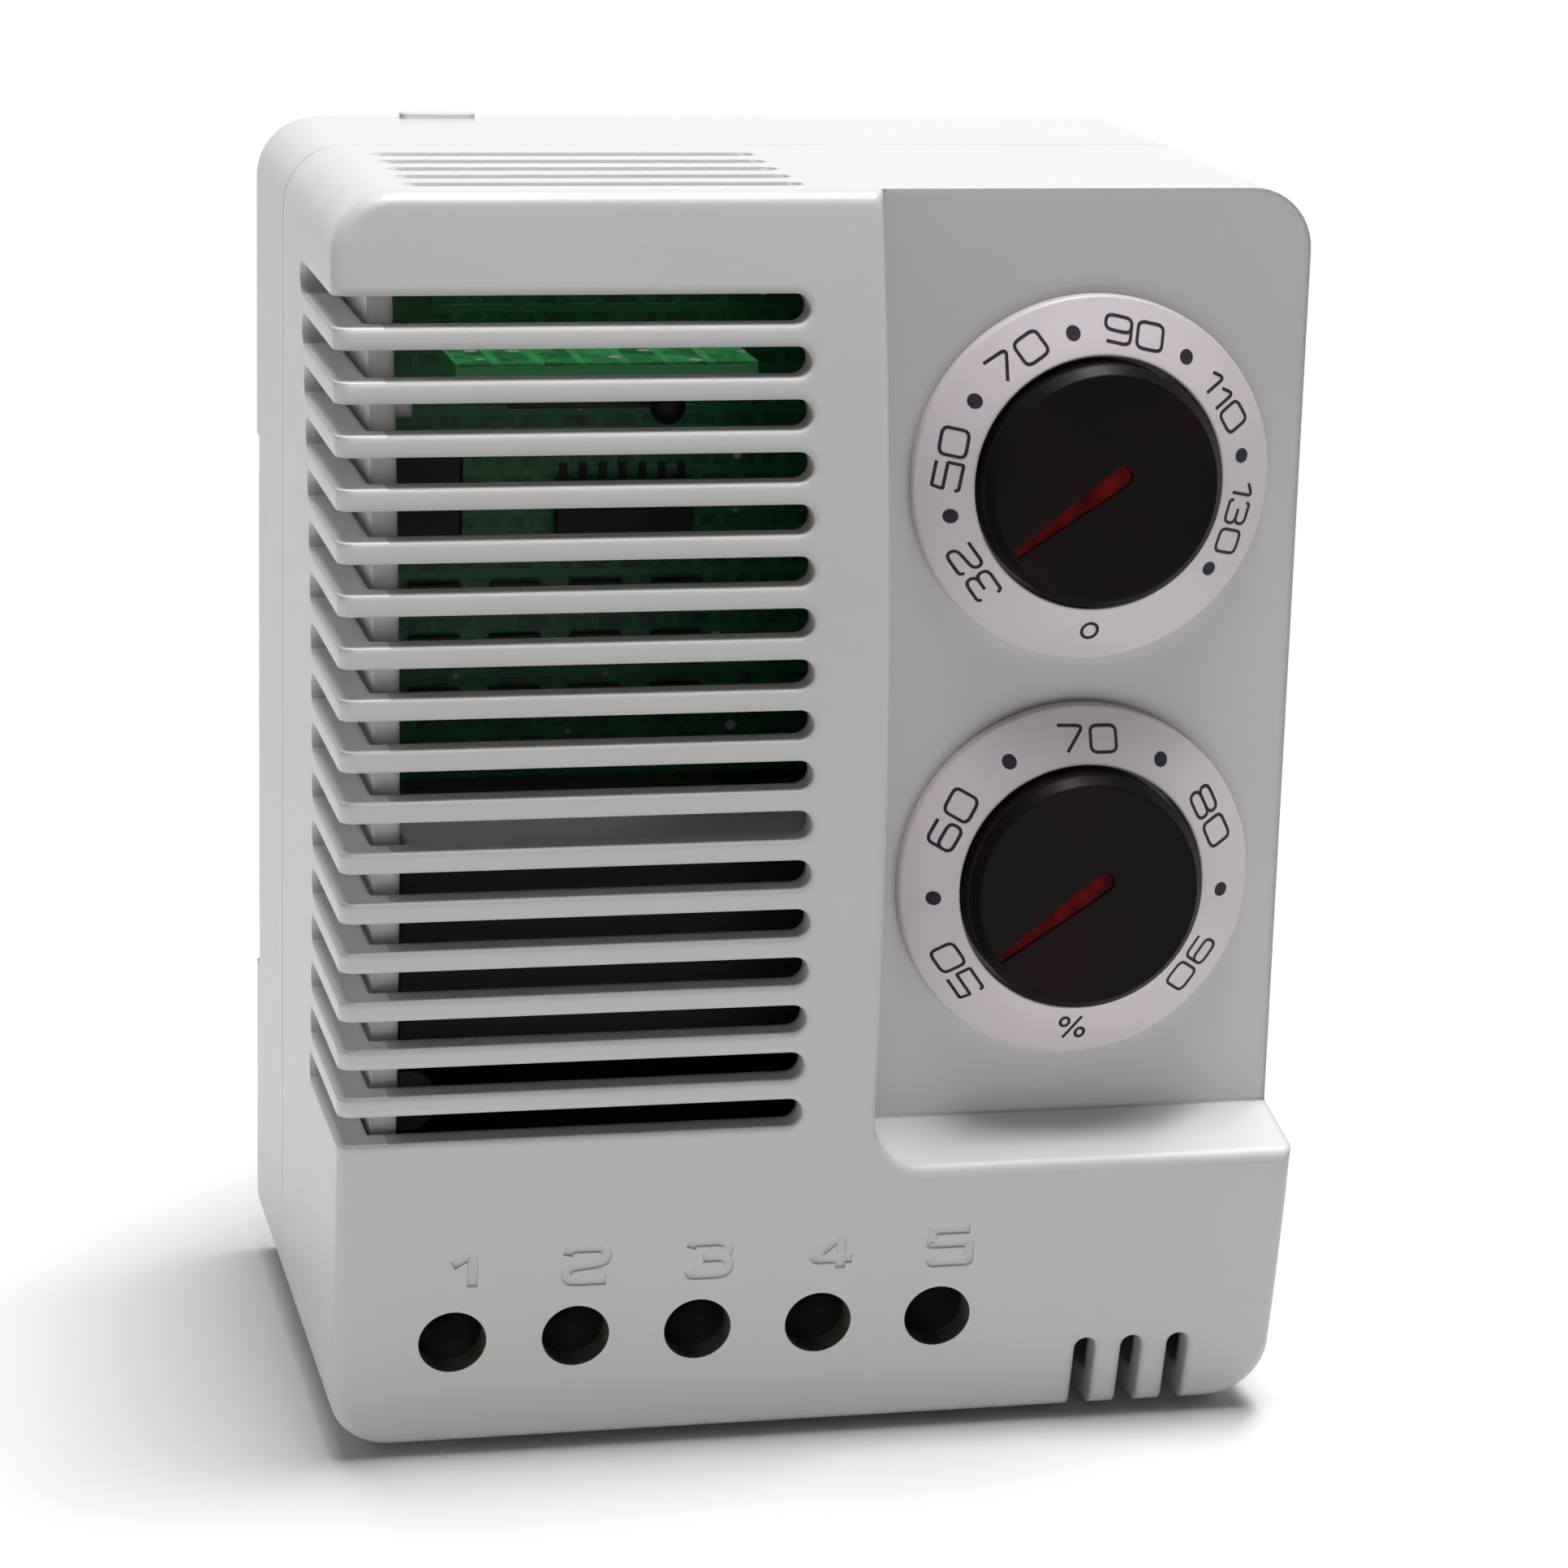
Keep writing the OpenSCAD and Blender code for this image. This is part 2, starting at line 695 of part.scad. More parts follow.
module rear_base() color("gainsboro")
    difference() {
        union() {
            difference() {
                union() {
                    y_span(part_y, rear_y) housing_outline(0);
                    block(-guide_x, guide_x, 0, clip_d, bottom, channel_low);
                }
                base_cavity();
                block(left - over, right + over, 0, rear_y + over, channel_low,
                    channel_top);
                for (s = [-1, 1]) mirror([0, 0, s < 0 ? 1 : 0])
                    block(left - over, right + over, -seat_relief, over,
                        rail_h / 2 - hook_bite - seat_gap, s < 0 ? -channel_low : channel_top);
                latch_space();
            }
            difference() {
                y_span(part_y - tongue_h, part_y + tongue_t)
                    housing_outline(wall + tongue_gap);
                y_span(part_y - tongue_h - over, part_y + tongue_t + over)
                    housing_outline(wall + tongue_gap + tongue_t);
            }
            y_span(part_y, part_y + tongue_t) difference() {
                housing_outline(wall / 2);
                housing_outline(wall + tongue_gap + tongue_t);
            }
            guard_wall();
            guard_lug();
            for (p = posts) y_rod(p[0], p[1], post_r, board_rear, rear_y - wall / 2);
            for (s = [-1, 1]) {
                block(s * hook_x - hook_w / 2, s * hook_x + hook_w / 2, lip_t + lip_gap,
                    lip_t + lip_gap + hook_t, rail_h / 2 - hook_bite,
                    channel_top + hook_root);
                block(s * hook_x - hook_w / 2, s * hook_x + hook_w / 2, rear_y - wall / 2,
                    lip_t + lip_gap + hook_t / 2, channel_top, channel_top + hook_root);
            }
            block(-window_w / 2 + latch_gap, window_w / 2 - latch_gap,
                pocket_y - wall / 2, latch_y + latch_t, latch_post_z,
                latch_post_z + latch_post_t);
            block(lug_x, lug_x + lug_w, rear_y - lug_t, rear_y, top - wall, top + lug_h);
        }
        for (p = posts)
            y_rod(p[0], p[1], screw_shank_r + turn_gap, board_rear - over,
                board_y + screw_len + seat_gap);
    }

// Dials and knobs

module dial_plate(z)
    turned(dial_x, floor_y, z)
        polygon([[hub_hole_r, 0], [dial_r, 0], [dial_r, dial_edge_h],
            [well_r, dial_h], [well_r, well_h], [hub_hole_r, well_h]]);

module pointer_outline(gap) {
    rotate(90 - pointer_angle) {
        polygon([[0, -pointer_w / 2 + gap], [pointer_tip - gap, -pointer_tip_w / 2 + gap],
            [pointer_tip - gap, pointer_tip_w / 2 - gap], [0, pointer_w / 2 - gap],
            [-pointer_back + pointer_w / 2, pointer_w / 2 - gap],
            [-pointer_back + pointer_w / 2, -pointer_w / 2 + gap]]);
        translate([-pointer_back + pointer_w / 2, 0]) circle(r = pointer_w / 2 - gap);
    }
}

module knob(z)
    difference() {
        turned(dial_x, floor_y, z)
            polygon([[0, knob_h], [knob_r - knob_bevel_w, knob_h],
                [knob_r, knob_h - knob_bevel_h], [knob_r, knob_skirt_h],
                [hub_hole_r, knob_skirt_h], [hub_hole_r, knob_h - knob_top_t],
                [hub_r, knob_h - knob_top_t],
                [hub_r, -hub_depth], [shaft_r + turn_gap, -hub_depth],
                [shaft_r + turn_gap, shaft_tip_h + seat_gap],
                [0, shaft_tip_h + seat_gap]]);
        translate([dial_x, 0, z])
            y_span(floor_y - knob_h - over, floor_y - knob_h + groove_depth)
                pointer_outline(0);
    }

module pointer(z)
    translate([dial_x, 0, z])
        y_span(floor_y - knob_h + groove_depth - pointer_t,
            floor_y - knob_h + groove_depth)
                pointer_outline(pointer_gap);

module temperature_dial() color("mistyrose") dial_plate(dial_z1);
module humidity_dial() color("mistyrose") dial_plate(dial_z2);
module temperature_knob() color("darkred") knob(dial_z1);
module humidity_knob() color("darkred") knob(dial_z2);
module temperature_pointer() color("red") pointer(dial_z1);
module humidity_pointer() color("red") pointer(dial_z2);

// Potentiometers

module pot_body(z) {
    y0 = board_y - pot_h;
    difference() {
        block(dial_x - pot_w / 2, dial_x + pot_w / 2, y0, board_y, z - pot_w / 2,
            z + pot_w / 2);
        y_rod(dial_x, z, rotor_r + pass_gap, y0 + pot_wall, board_y - pot_floor_t);
        y_rod(dial_x, z, shaft_r + turn_gap, y0 - over, y0 + pot_wall + over);
    }
}

module pot_shaft(z) {
    y0 = board_y - pot_h;
    y_rod(dial_x, z, rotor_r, y0 + pot_wall + pass_gap,
        board_y - pot_floor_t - pass_gap);
    y_rod(dial_x, z, shaft_r, floor_y - shaft_tip_h, y0 + pot_wall + 2 * pass_gap);
}

module pot_pin_rods(r, y0, y1)
    for (z = dial_zs, s = [-1, 0, 1])
        y_rod(dial_x + s * pot_pin_x, z - pot_w / 2 + (s * s + 1) * pin_hole_r * 2, r,
            y0, y1);

module temperature_pot_body() color("midnightblue") pot_body(dial_z1);
module humidity_pot_body() color("midnightblue") pot_body(dial_z2);
module temperature_pot_shaft() color("ivory") pot_shaft(dial_z1);
module humidity_pot_shaft() color("ivory") pot_shaft(dial_z2);
module pot_pins() color("silver") pot_pin_rods(pin_r, board_y, board_rear + pin_tail);

// Indicator lamps, under the knobs

module led(z) {
    tip_y = floor_y - led_top_h;
    base_y = tip_y + led_body_h;
    x = dial_x + led_offset;
    y_rod(x, z, led_r, tip_y + led_r, base_y);
    translate([x, tip_y + led_r, z]) sphere(r = led_r);
    y_rod(x, z, led_flange_r, base_y - led_flange_h, base_y);
    for (s = [-1, 1])
        block(x - led_lead_w / 2, x + led_lead_w / 2, base_y - led_flange_h / 2, board_y,
            z + s * led_lead_gap / 2 - led_lead_w / 2,
            z + s * led_lead_gap / 2 + led_lead_w / 2);
}

module temperature_led() color("tomato") led(dial_z1);
module humidity_led() color("tomato") led(dial_z2);

// Boards and sensors

module main_board() color("seagreen")
    difference() {
        block(board_x0, board_x1, board_y, board_rear, board_z0, board_z1);
        for (p = posts)
            y_rod(p[0], p[1], screw_hole_r, board_y - over, board_rear + over);
        pot_pin_rods(pin_hole_r, board_y - over, board_rear + over);
        contact_leg_blocks(contact_gap, board_y - over, board_rear + over);
        relay_pin_blocks(contact_gap, board_y - over, board_rear + over);
    }

module sensor_board() color("limegreen")
    block(sensor_x0, sensor_x1, sensor_y0, sensor_y1, sensor_z - sensor_t, sensor_z);

module sensor_header() color("goldenrod") {
    half = header_pins * header_pitch / 2;
    z1 = sensor_z - sensor_t;
    block(sensor_xm - half, sensor_xm + half, sensor_y1 - header_d, sensor_y1,
        z1 - header_t, z1);
    for (k = [0:header_pins - 1]) {
        x = sensor_xm + (k - (header_pins - 1) / 2) * header_pitch;
        block(x - header_pin_w / 2, x + header_pin_w / 2, sensor_y1 - header_d / 2,
            board_y, z1 - header_t / 2 - header_pin_w / 2,
            z1 - header_t / 2 + header_pin_w / 2);
    }
}

module humidity_sensor() color("whitesmoke") {
    x = sensor_x0 + hygro_inset + hygro_w / 2;
    y = sensor_y0 + hygro_inset + hygro_d / 2;
    z1 = sensor_z - sensor_t;
    difference() {
        block(x - hygro_w / 2, x + hygro_w / 2, y - hygro_d / 2, y + hygro_d / 2,
            z1 - hygro_h, z1);
        z_rod(x, y, hygro_port_r, z1 - hygro_h - over, z1 - hygro_h + hygro_port_depth);
    }
}

module temperature_sensor() color("black") {
    x = sensor_x1 - hygro_w;
    y = sensor_y0 + hygro_inset + hygro_d / 2;
    z1 = sensor_z - sensor_t;
    translate([x, y, z1 - bead_lead_h - bead_r]) sphere(r = bead_r);
    for (s = [-1, 1])
        z_rod(x + s * bead_lead_gap / 2, y, bead_lead_r, z1 - bead_lead_h - bead_r, z1);
}

// Terminals

module contact_leg_blocks(grow, y0, y1)
    for (k = [0:term_count - 1]) {
        x = term_x0 + k * term_pitch;
        block(x - contact_w / 2 - grow, x + contact_w / 2 + grow, y0, y1,
            leg_z0 - grow, leg_z1 + grow);
    }

module terminal_block() color("darkgreen")
    difference() {
        union() {
            block(block_x0, block_x1, block_top_y, board_y, block_z0, block_z1);
            terminal_holes(guide_r + guide_wall, guide_y, block_top_y + block_cap_t / 2);
        }
        terminal_holes(guide_r, guide_y - over, block_top_y);
        for (k = [0:term_count - 1]) {
            x = term_x0 + k * term_pitch;
            block(x - pocket_w / 2, x + pocket_w / 2, block_top_y + block_cap_t,
                board_y - block_floor_t, block_z0 - over, block_z1 - block_back_t);
            y_rod(x, term_z, head_r + turn_gap, block_top_y - over,
                block_top_y + head_sink + head_t + head_ledge);
            y_rod(x, term_z, shank_r + shank_gap, block_top_y,
                block_top_y + block_cap_t + over);
        }
        contact_leg_blocks(turn_gap, board_y - block_floor_t - over, board_y + over);
    }

module terminal_screw(k) color("silver") {
    x = term_x0 + k * term_pitch;
    y0 = block_top_y + head_sink;
    difference() {
        union() {
            y_rod(x, term_z, head_r, y0, y0 + head_t);
            y_rod(x, term_z, shank_r, y0 + head_t / 2, shank_end_y);
        }
        block(x - head_r - over, x + head_r + over, y0 - over, y0 + head_slot_d,
            term_z - head_slot_w / 2, term_z + head_slot_w / 2);
    }
}

module terminal_cage(k) color("lightsteelblue") {
    x = term_x0 + k * term_pitch;
    difference() {
        block(x - cage_w / 2, x + cage_w / 2, cage_top_y, cage_end_y, cage_z0, cage_z1);
        block(x - cage_w / 2 + cage_wall, x + cage_w / 2 - cage_wall,
            cage_top_y + cage_top_t, cage_end_y - cage_floor_t, cage_z0 - over,
            cage_z1 + over);
        y_rod(x, term_z, shank_r + turn_gap, cage_top_y - over,
            cage_top_y + cage_top_t + over);
    }
}

module terminal_screw_1() terminal_screw(0);
module terminal_screw_2() terminal_screw(1);
module terminal_screw_3() terminal_screw(2);
module terminal_screw_4() terminal_screw(3);
module terminal_screw_5() terminal_screw(4);
module terminal_cage_1() terminal_cage(0);
module terminal_cage_2() terminal_cage(1);
module terminal_cage_3() terminal_cage(2);
module terminal_cage_4() terminal_cage(3);
module terminal_cage_5() terminal_cage(4);

module terminal_contacts() color("goldenrod") {
    for (k = [0:term_count - 1]) {
        x = term_x0 + k * term_pitch;
        block(x - contact_w / 2, x + contact_w / 2, contact_y, contact_y + contact_t,
            cage_z0 + contact_gap, leg_z0 + contact_leg_t / 2);
    }
    contact_leg_blocks(0, contact_y, board_rear + pin_tail);
}

// Relay

module relay_base() color("dimgray")
    difference() {
        block(relay_x0, relay_x1, relay_in_y, board_y, relay_z0, relay_z1);
        relay_pin_blocks(turn_gap, relay_in_y - over, board_y + over);
    }

module relay_case() color("dimgray")
    difference() {
        block(relay_x0, relay_x1, relay_top_y, relay_in_y, relay_z0, relay_z1);
        block(relay_x0 + relay_shell, relay_x1 - relay_shell, relay_top_y + relay_lid_t,
            relay_in_y + over, relay_z0 + relay_shell, relay_z1 - relay_shell);
    }

module relay_bobbin() color("white")
    difference() {
        union() {
            y_rod(coil_x, relay_zm, spool_r, coil_y0, coil_y1);
            y_rod(coil_x, relay_zm, flange_r, coil_y0, coil_y0 + flange_t);
            y_rod(coil_x, relay_zm, flange_r, coil_y1 - flange_t, coil_y1);
        }
        y_rod(coil_x, relay_zm, core_r + coil_gap, coil_y0 - over, coil_y1 + over);
    }

module relay_winding() color("peru")
    difference() {
        y_rod(coil_x, relay_zm, coil_r, coil_y0 + flange_t + coil_gap,
            coil_y1 - flange_t - coil_gap);
        y_rod(coil_x, relay_zm, spool_r + coil_gap, coil_y0, coil_y1);
    }

module relay_core() color("lightslategray") {
    y_rod(coil_x, relay_zm, core_r, pole_y + pole_t / 2, coil_y1);
    y_rod(coil_x, relay_zm, pole_r, pole_y, pole_y + pole_t);
}

module relay_yoke() color("slategray") {
    block(coil_x - core_r, yoke_x + yoke_t, coil_y1, relay_in_y,
        relay_zm - yoke_w / 2, relay_zm + yoke_w / 2);
    block(yoke_x, yoke_x + yoke_t, arm_y1 + knife_gap, relay_in_y,
        relay_zm - yoke_w / 2, relay_zm + yoke_w / 2);
}

module relay_armature() color("lightslategray")
    block(hinge_x - arm_reach, hinge_x + arm_tail, arm_y1 - arm_t, arm_y1,
        relay_zm - arm_w / 2, relay_zm + arm_w / 2);

module relay_contact_blade() color("darkgoldenrod") {
    block(hinge_x - arm_tail, hinge_x + blade_reach, blade_y, blade_y + blade_t,
        relay_zm - blade_w / 2, relay_zm + blade_w / 2);
    y_rod(stand_x, relay_zm, button_r, blade_y - button_t,
        blade_y + blade_t + button_t);
}

module contact_stand(x, y0, y1, leg_z) {
    y_rod(x, relay_zm, button_r, y0, y1);
    block(x - stand_w / 2, x + stand_w / 2, leg_z < 0 ? y0 - stand_t : y1,
        leg_z < 0 ? y0 : y1 + stand_t, relay_zm - stand_w / 2, relay_zm + stand_w / 2);
    block(x + stand_w / 2 - stand_t, x + stand_w / 2, leg_z < 0 ? y0 - stand_t : y1,
        relay_in_y, leg_z < 0 ? relay_zm - stand_w / 2 : relay_zm + stand_t,
        leg_z < 0 ? relay_zm - stand_t : relay_zm + stand_w / 2);
}

module relay_fixed_contacts() color("gold") {
    rest_y = blade_y + blade_t + button_t + knife_gap;
    make_y = blade_y - button_t - contact_open;
    contact_stand(stand_x, rest_y, rest_y + button_t, 1);
    contact_stand(stand_x, make_y - button_t, make_y, -1);
}

module relay_pin_blocks(grow, y0, y1)
    for (x = relay_pin_xs, s = [-1, 1])
        block(x - relay_pin_t / 2 - grow, x + relay_pin_t / 2 + grow, y0, y1,
            relay_zm + s * relay_w / 4 - relay_pin_w / 2 - grow,
            relay_zm + s * relay_w / 4 + relay_pin_w / 2 + grow);

module relay_pins() color("silver")
    relay_pin_blocks(0, board_y - relay_base_t, board_rear + pin_tail);

// Other parts on the board

module film_capacitor() color("khaki")
    block(film_x0, film_x0 + film_l, board_y - film_h, board_y, film_z0,
        film_z0 + film_w);

module filter_capacitor() color("navy")
    difference() {
        y_rod(can_x, can_z, can_r, board_y - can_h, board_y);
        translate([can_x, board_y - can_groove_h, can_z]) rotate([90, 0, 0])
            rotate_extrude() translate([can_r, 0]) circle(r = can_groove_r);
    }

module varistor() color("royalblue") {
    z = can_z;
    y = board_y - disc_lead_h - disc_r;
    translate([disc_x, y, z - disc_t / 2]) cylinder(r = disc_r, h = disc_t);
    for (s = [-1, 1])
        y_rod(disc_x + s * disc_lead_gap / 2, z, disc_lead_r, y, board_y);
}

module rectifier() color("black")
    block(rect_x - rect_w / 2, rect_x + rect_w / 2, board_y - rect_h, board_y,
        rect_z - rect_l / 2, rect_z + rect_l / 2);

module controller_chip() color("black") {
    block(chip_x - chip_l / 2, chip_x + chip_l / 2, board_y - chip_h, board_y,
        chip_z - chip_w / 2, chip_z + chip_w / 2);
    for (k = [0:chip_leads - 1], s = [-1, 1]) {
        x = chip_x + (k - (chip_leads - 1) / 2) * chip_lead_pitch;
        z = chip_z + s * (chip_w + chip_lead_run) / 2;
        block(x - chip_lead_w / 2, x + chip_lead_w / 2, board_y - chip_lead_t, board_y,
            z - chip_lead_run / 2, z + chip_lead_run / 2);
    }
}

module small_resistors() color("black")
    for (i = [0:smd_cols - 1], j = [0:smd_rows - 1]) {
        x = smd_x + i * smd_pitch_x;
        z = smd_z + j * smd_pitch_z;
        block(x - smd_l / 2, x + smd_l / 2, board_y - smd_h, board_y, z - smd_w / 2,
            z + smd_w / 2);
    }

module dropper_resistor() color("burlywood") {
    y = board_y - drop_lift - drop_r;
    z0 = drop_z - drop_l / 2;
    z_rod(drop_x, y, drop_r, z0, z0 + drop_l);
    for (s = [-1, 1]) {
        z = drop_z + s * (drop_l / 2 + drop_lead_run);
        z_rod(drop_x, y, drop_lead_r, min(z, drop_z), max(z, drop_z));
        y_rod(drop_x, z, drop_lead_r, y, board_y);
    }
}

module board_screws() color("silver")
    for (p = posts) {
        y_rod(p[0], p[1], screw_head_r, board_y - screw_head_h, board_y);
        y_rod(p[0], p[1], screw_shank_r, board_y - screw_head_h / 2,
            board_y + screw_len);
    }

// Rail latch and its spring

module din_latch() color("darkgray") {
    x = latch_w / 2;
    y1 = latch_y + latch_t;
    difference() {
        union() {
            x_span(-x, x)
                polygon([[latch_y, latch_low], [y1, latch_low],
                    [y1, latch_top - latch_chamfer], [latch_y + latch_nose, latch_top],
                    [latch_y, latch_top]]);
            block(-x - latch_flange, x + latch_flange, latch_y, latch_y + latch_flange_t,
                latch_low + wall, channel_low - wall);
        }
        block(-window_w / 2, window_w / 2, latch_y - over, y1 + over, window_z0,
            window_z1);
        block(-pull_w / 2, pull_w / 2, latch_y - over, y1 + over, pull_z,
            pull_z + pull_h);
    }
}

// One ring of the spring's wire, at a share of its length
function spring_ring(share) =
    let (turn = 360 * spring_turns * share,
        z0 = latch_post_z + latch_post_t + spring_wire_r + spring_seat,
        run = spring_len - 2 * spring_wire_r - 2 * spring_seat)
    [for (i = [0:spring_sides - 1])
        let (a = 360 * i / spring_sides, r = spring_r + spring_wire_r * cos(a))
        [r * cos(turn), spring_y + r * sin(turn),
            z0 + run * share + spring_wire_r * sin(a)]];

module latch_spring() color("lightgray") {
    n = spring_turns * spring_rings;
    points = [for (j = [0:n]) each spring_ring(j / n)];
    s = spring_sides;
    walls = [for (j = [0:n - 1], i = [0:s - 1]) let (i2 = (i + 1) % s)
        each [[j * s + i, j * s + i2, (j + 1) * s + i2],
            [j * s + i, (j + 1) * s + i2, (j + 1) * s + i]]];
    ends = [for (i = [1:s - 2]) each [[0, i + 1, i], [n * s, n * s + i, n * s + i + 1]]];
    polyhedron(points, concat(walls, ends));
}

front_cover();
rear_base();
temperature_dial();
humidity_dial();
temperature_knob();
humidity_knob();
temperature_pointer();
humidity_pointer();
temperature_pot_body();
humidity_pot_body();
temperature_pot_shaft();
humidity_pot_shaft();
pot_pins();
temperature_led();
humidity_led();
main_board();
sensor_board();
sensor_header();
humidity_sensor();
temperature_sensor();
terminal_block();
terminal_screw_1();
terminal_screw_2();
terminal_screw_3();
terminal_screw_4();
terminal_screw_5();
terminal_cage_1();
terminal_cage_2();
terminal_cage_3();
terminal_cage_4();
terminal_cage_5();
terminal_contacts();
relay_base();
relay_case();
relay_bobbin();
relay_winding();
relay_core();
relay_yoke();
relay_armature();
relay_contact_blade();
relay_fixed_contacts();
relay_pins();
film_capacitor();
filter_capacitor();
varistor();
rectifier();
controller_chip();
small_resistors();
dropper_resistor();
board_screws();
din_latch();
latch_spring();
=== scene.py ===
import json
import math

import bmesh
import bpy
from mathutils import Matrix, Vector

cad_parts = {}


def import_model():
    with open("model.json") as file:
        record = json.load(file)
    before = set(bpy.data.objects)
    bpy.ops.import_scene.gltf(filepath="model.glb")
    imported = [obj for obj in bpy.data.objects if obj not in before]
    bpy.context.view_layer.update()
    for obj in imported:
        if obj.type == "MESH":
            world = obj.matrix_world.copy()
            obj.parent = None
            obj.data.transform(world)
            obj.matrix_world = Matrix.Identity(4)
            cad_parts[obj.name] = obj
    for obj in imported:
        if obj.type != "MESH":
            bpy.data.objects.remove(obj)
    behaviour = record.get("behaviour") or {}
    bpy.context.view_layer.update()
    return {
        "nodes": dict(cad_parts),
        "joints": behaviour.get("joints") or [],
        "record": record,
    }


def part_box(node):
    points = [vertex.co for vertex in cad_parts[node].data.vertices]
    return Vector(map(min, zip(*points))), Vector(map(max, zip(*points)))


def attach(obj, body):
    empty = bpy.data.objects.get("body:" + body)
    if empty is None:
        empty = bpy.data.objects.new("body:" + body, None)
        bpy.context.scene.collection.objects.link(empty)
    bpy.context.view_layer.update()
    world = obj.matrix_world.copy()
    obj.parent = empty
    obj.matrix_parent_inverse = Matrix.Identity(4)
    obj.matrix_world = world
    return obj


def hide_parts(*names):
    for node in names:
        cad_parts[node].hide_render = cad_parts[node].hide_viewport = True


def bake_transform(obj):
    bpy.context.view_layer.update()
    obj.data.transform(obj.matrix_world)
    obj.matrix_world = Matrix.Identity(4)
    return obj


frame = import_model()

MM = 0.001

# Camera, solved from the photograph: place in millimetres, angles in degrees
CAMERA_PLACE = Vector((-65.212, -308.71, 75.005))
CAMERA_YAW, CAMERA_PITCH, CAMERA_ROLL = 12.9996, 14.5119, 1.5988
FOCAL_PIXELS, PHOTO_PIXELS, SENSOR = 5871.98, 1932, 36.0

# The housing's planes and features. Lengths without a unit in their name are in millimetres.
COVER_LOW, COVER_HIGH = (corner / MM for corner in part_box("front_cover"))
LEFT, RIGHT = COVER_LOW.x, COVER_HIGH.x
BOTTOM, TOP = COVER_LOW.z, COVER_HIGH.z
CROWN_Y, PART_Y = COVER_LOW.y, COVER_HIGH.y
REAR_Y = PART_Y + 14.6
MOUNTS = {m["name"]: m for m in frame["record"]["mounts"]}
JOINTS = {j["name"]: j for j in frame["joints"]}

# The curved front, bent about X
FACE_RADIUS, CROWN_DROP = 141.0, 3.2
CURVE_Y = CROWN_Y + FACE_RADIUS


def face_y(z):
    """Depth of the curved front at a height, in millimetres."""
    return CURVE_Y - math.sqrt(FACE_RADIUS**2 - (z + CROWN_DROP) ** 2)


DIAL_LOW, DIAL_HIGH = (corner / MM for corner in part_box("temperature_dial"))
RECESS_FLOOR_Y = DIAL_HIGH.y
RECESS_X = RIGHT - 27.0
LEDGE_Z = BOTTOM + 17.6
CORNER_R, RECESS_R = 3.8, 3.2
LEDGE_SLOPE = 1.4 / (RECESS_FLOOR_Y - face_y(LEDGE_Z))
HOLE_X = MOUNTS["driver_hole_1"]["pos_m"][0] / MM
HOLE_PITCH = MOUNTS["driver_hole_2"]["pos_m"][0] / MM - HOLE_X
HOLE_Z, HOLE_R = MOUNTS["driver_hole_1"]["pos_m"][2] / MM, 4.15 / 2
HOLES_MIDDLE_X = HOLE_X + 2 * HOLE_PITCH

# Side slots: their first upper edge under the top, height, pitch, number and reach in x
SLOT_TOP, SLOT_H, SLOT_PITCH, SLOT_COUNT, SLOT_REACH = 5.8, 1.85, 3.03, 17, 28.3
SLOTS_LOW_Z = TOP - SLOT_TOP - (SLOT_COUNT - 1) * SLOT_PITCH - SLOT_H
SLOTS_HIGH_Z = TOP - SLOT_TOP

# Engraved numbers over the screwdriver holes, and their groove as (offset, height)
GROOVE = [(-0.34, 0.08), (-0.27, -0.16), (0.27, -0.16), (0.34, 0.08)]
ENGRAVED_Z, ENGRAVED_SHIFT, ENGRAVED_HEIGHT, ENGRAVED_WIDTH = BOTTOM + 12.2, 0.45, 2.25, 3.1

# Dials: the printed scale lies on a cone between the knob's well and the rim. INK_LINE is
# a stroke's profile as (offset, height), and INK_LIFT is the ink's height over the dial.
DIAL_R = (DIAL_HIGH.x - DIAL_LOW.x) / 2
DIAL_H, DIAL_EDGE_H = DIAL_HIGH.y - DIAL_LOW.y, 0.9
KNOB_R = (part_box("temperature_knob")[1].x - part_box("temperature_knob")[0].x) / MM / 2
WELL_R = KNOB_R + 0.3
MARK_R, DOT_R = 9.25, 0.45
MARK_HEIGHT, MARK_WIDTH, NARROW_MARK_WIDTH = 1.52, 2.05, 1.8
INK_LINE, INK_LIFT = [(-0.1, 0), (0.1, 0)], 0.015
UNIT_CLOCK = 180

# The cover's edges that booleans round
FRONT_EDGE_R, RECESS_EDGE_R = 0.9, 0.7

# The floor: its gap under the object, its reach, and where its shadow fades into white
FLOOR_GAP, FLOOR_REACH_M = 0.75, 3.0
FADE_FROM_M, FADE_TO_M = 0.09, 0.2


# Materials


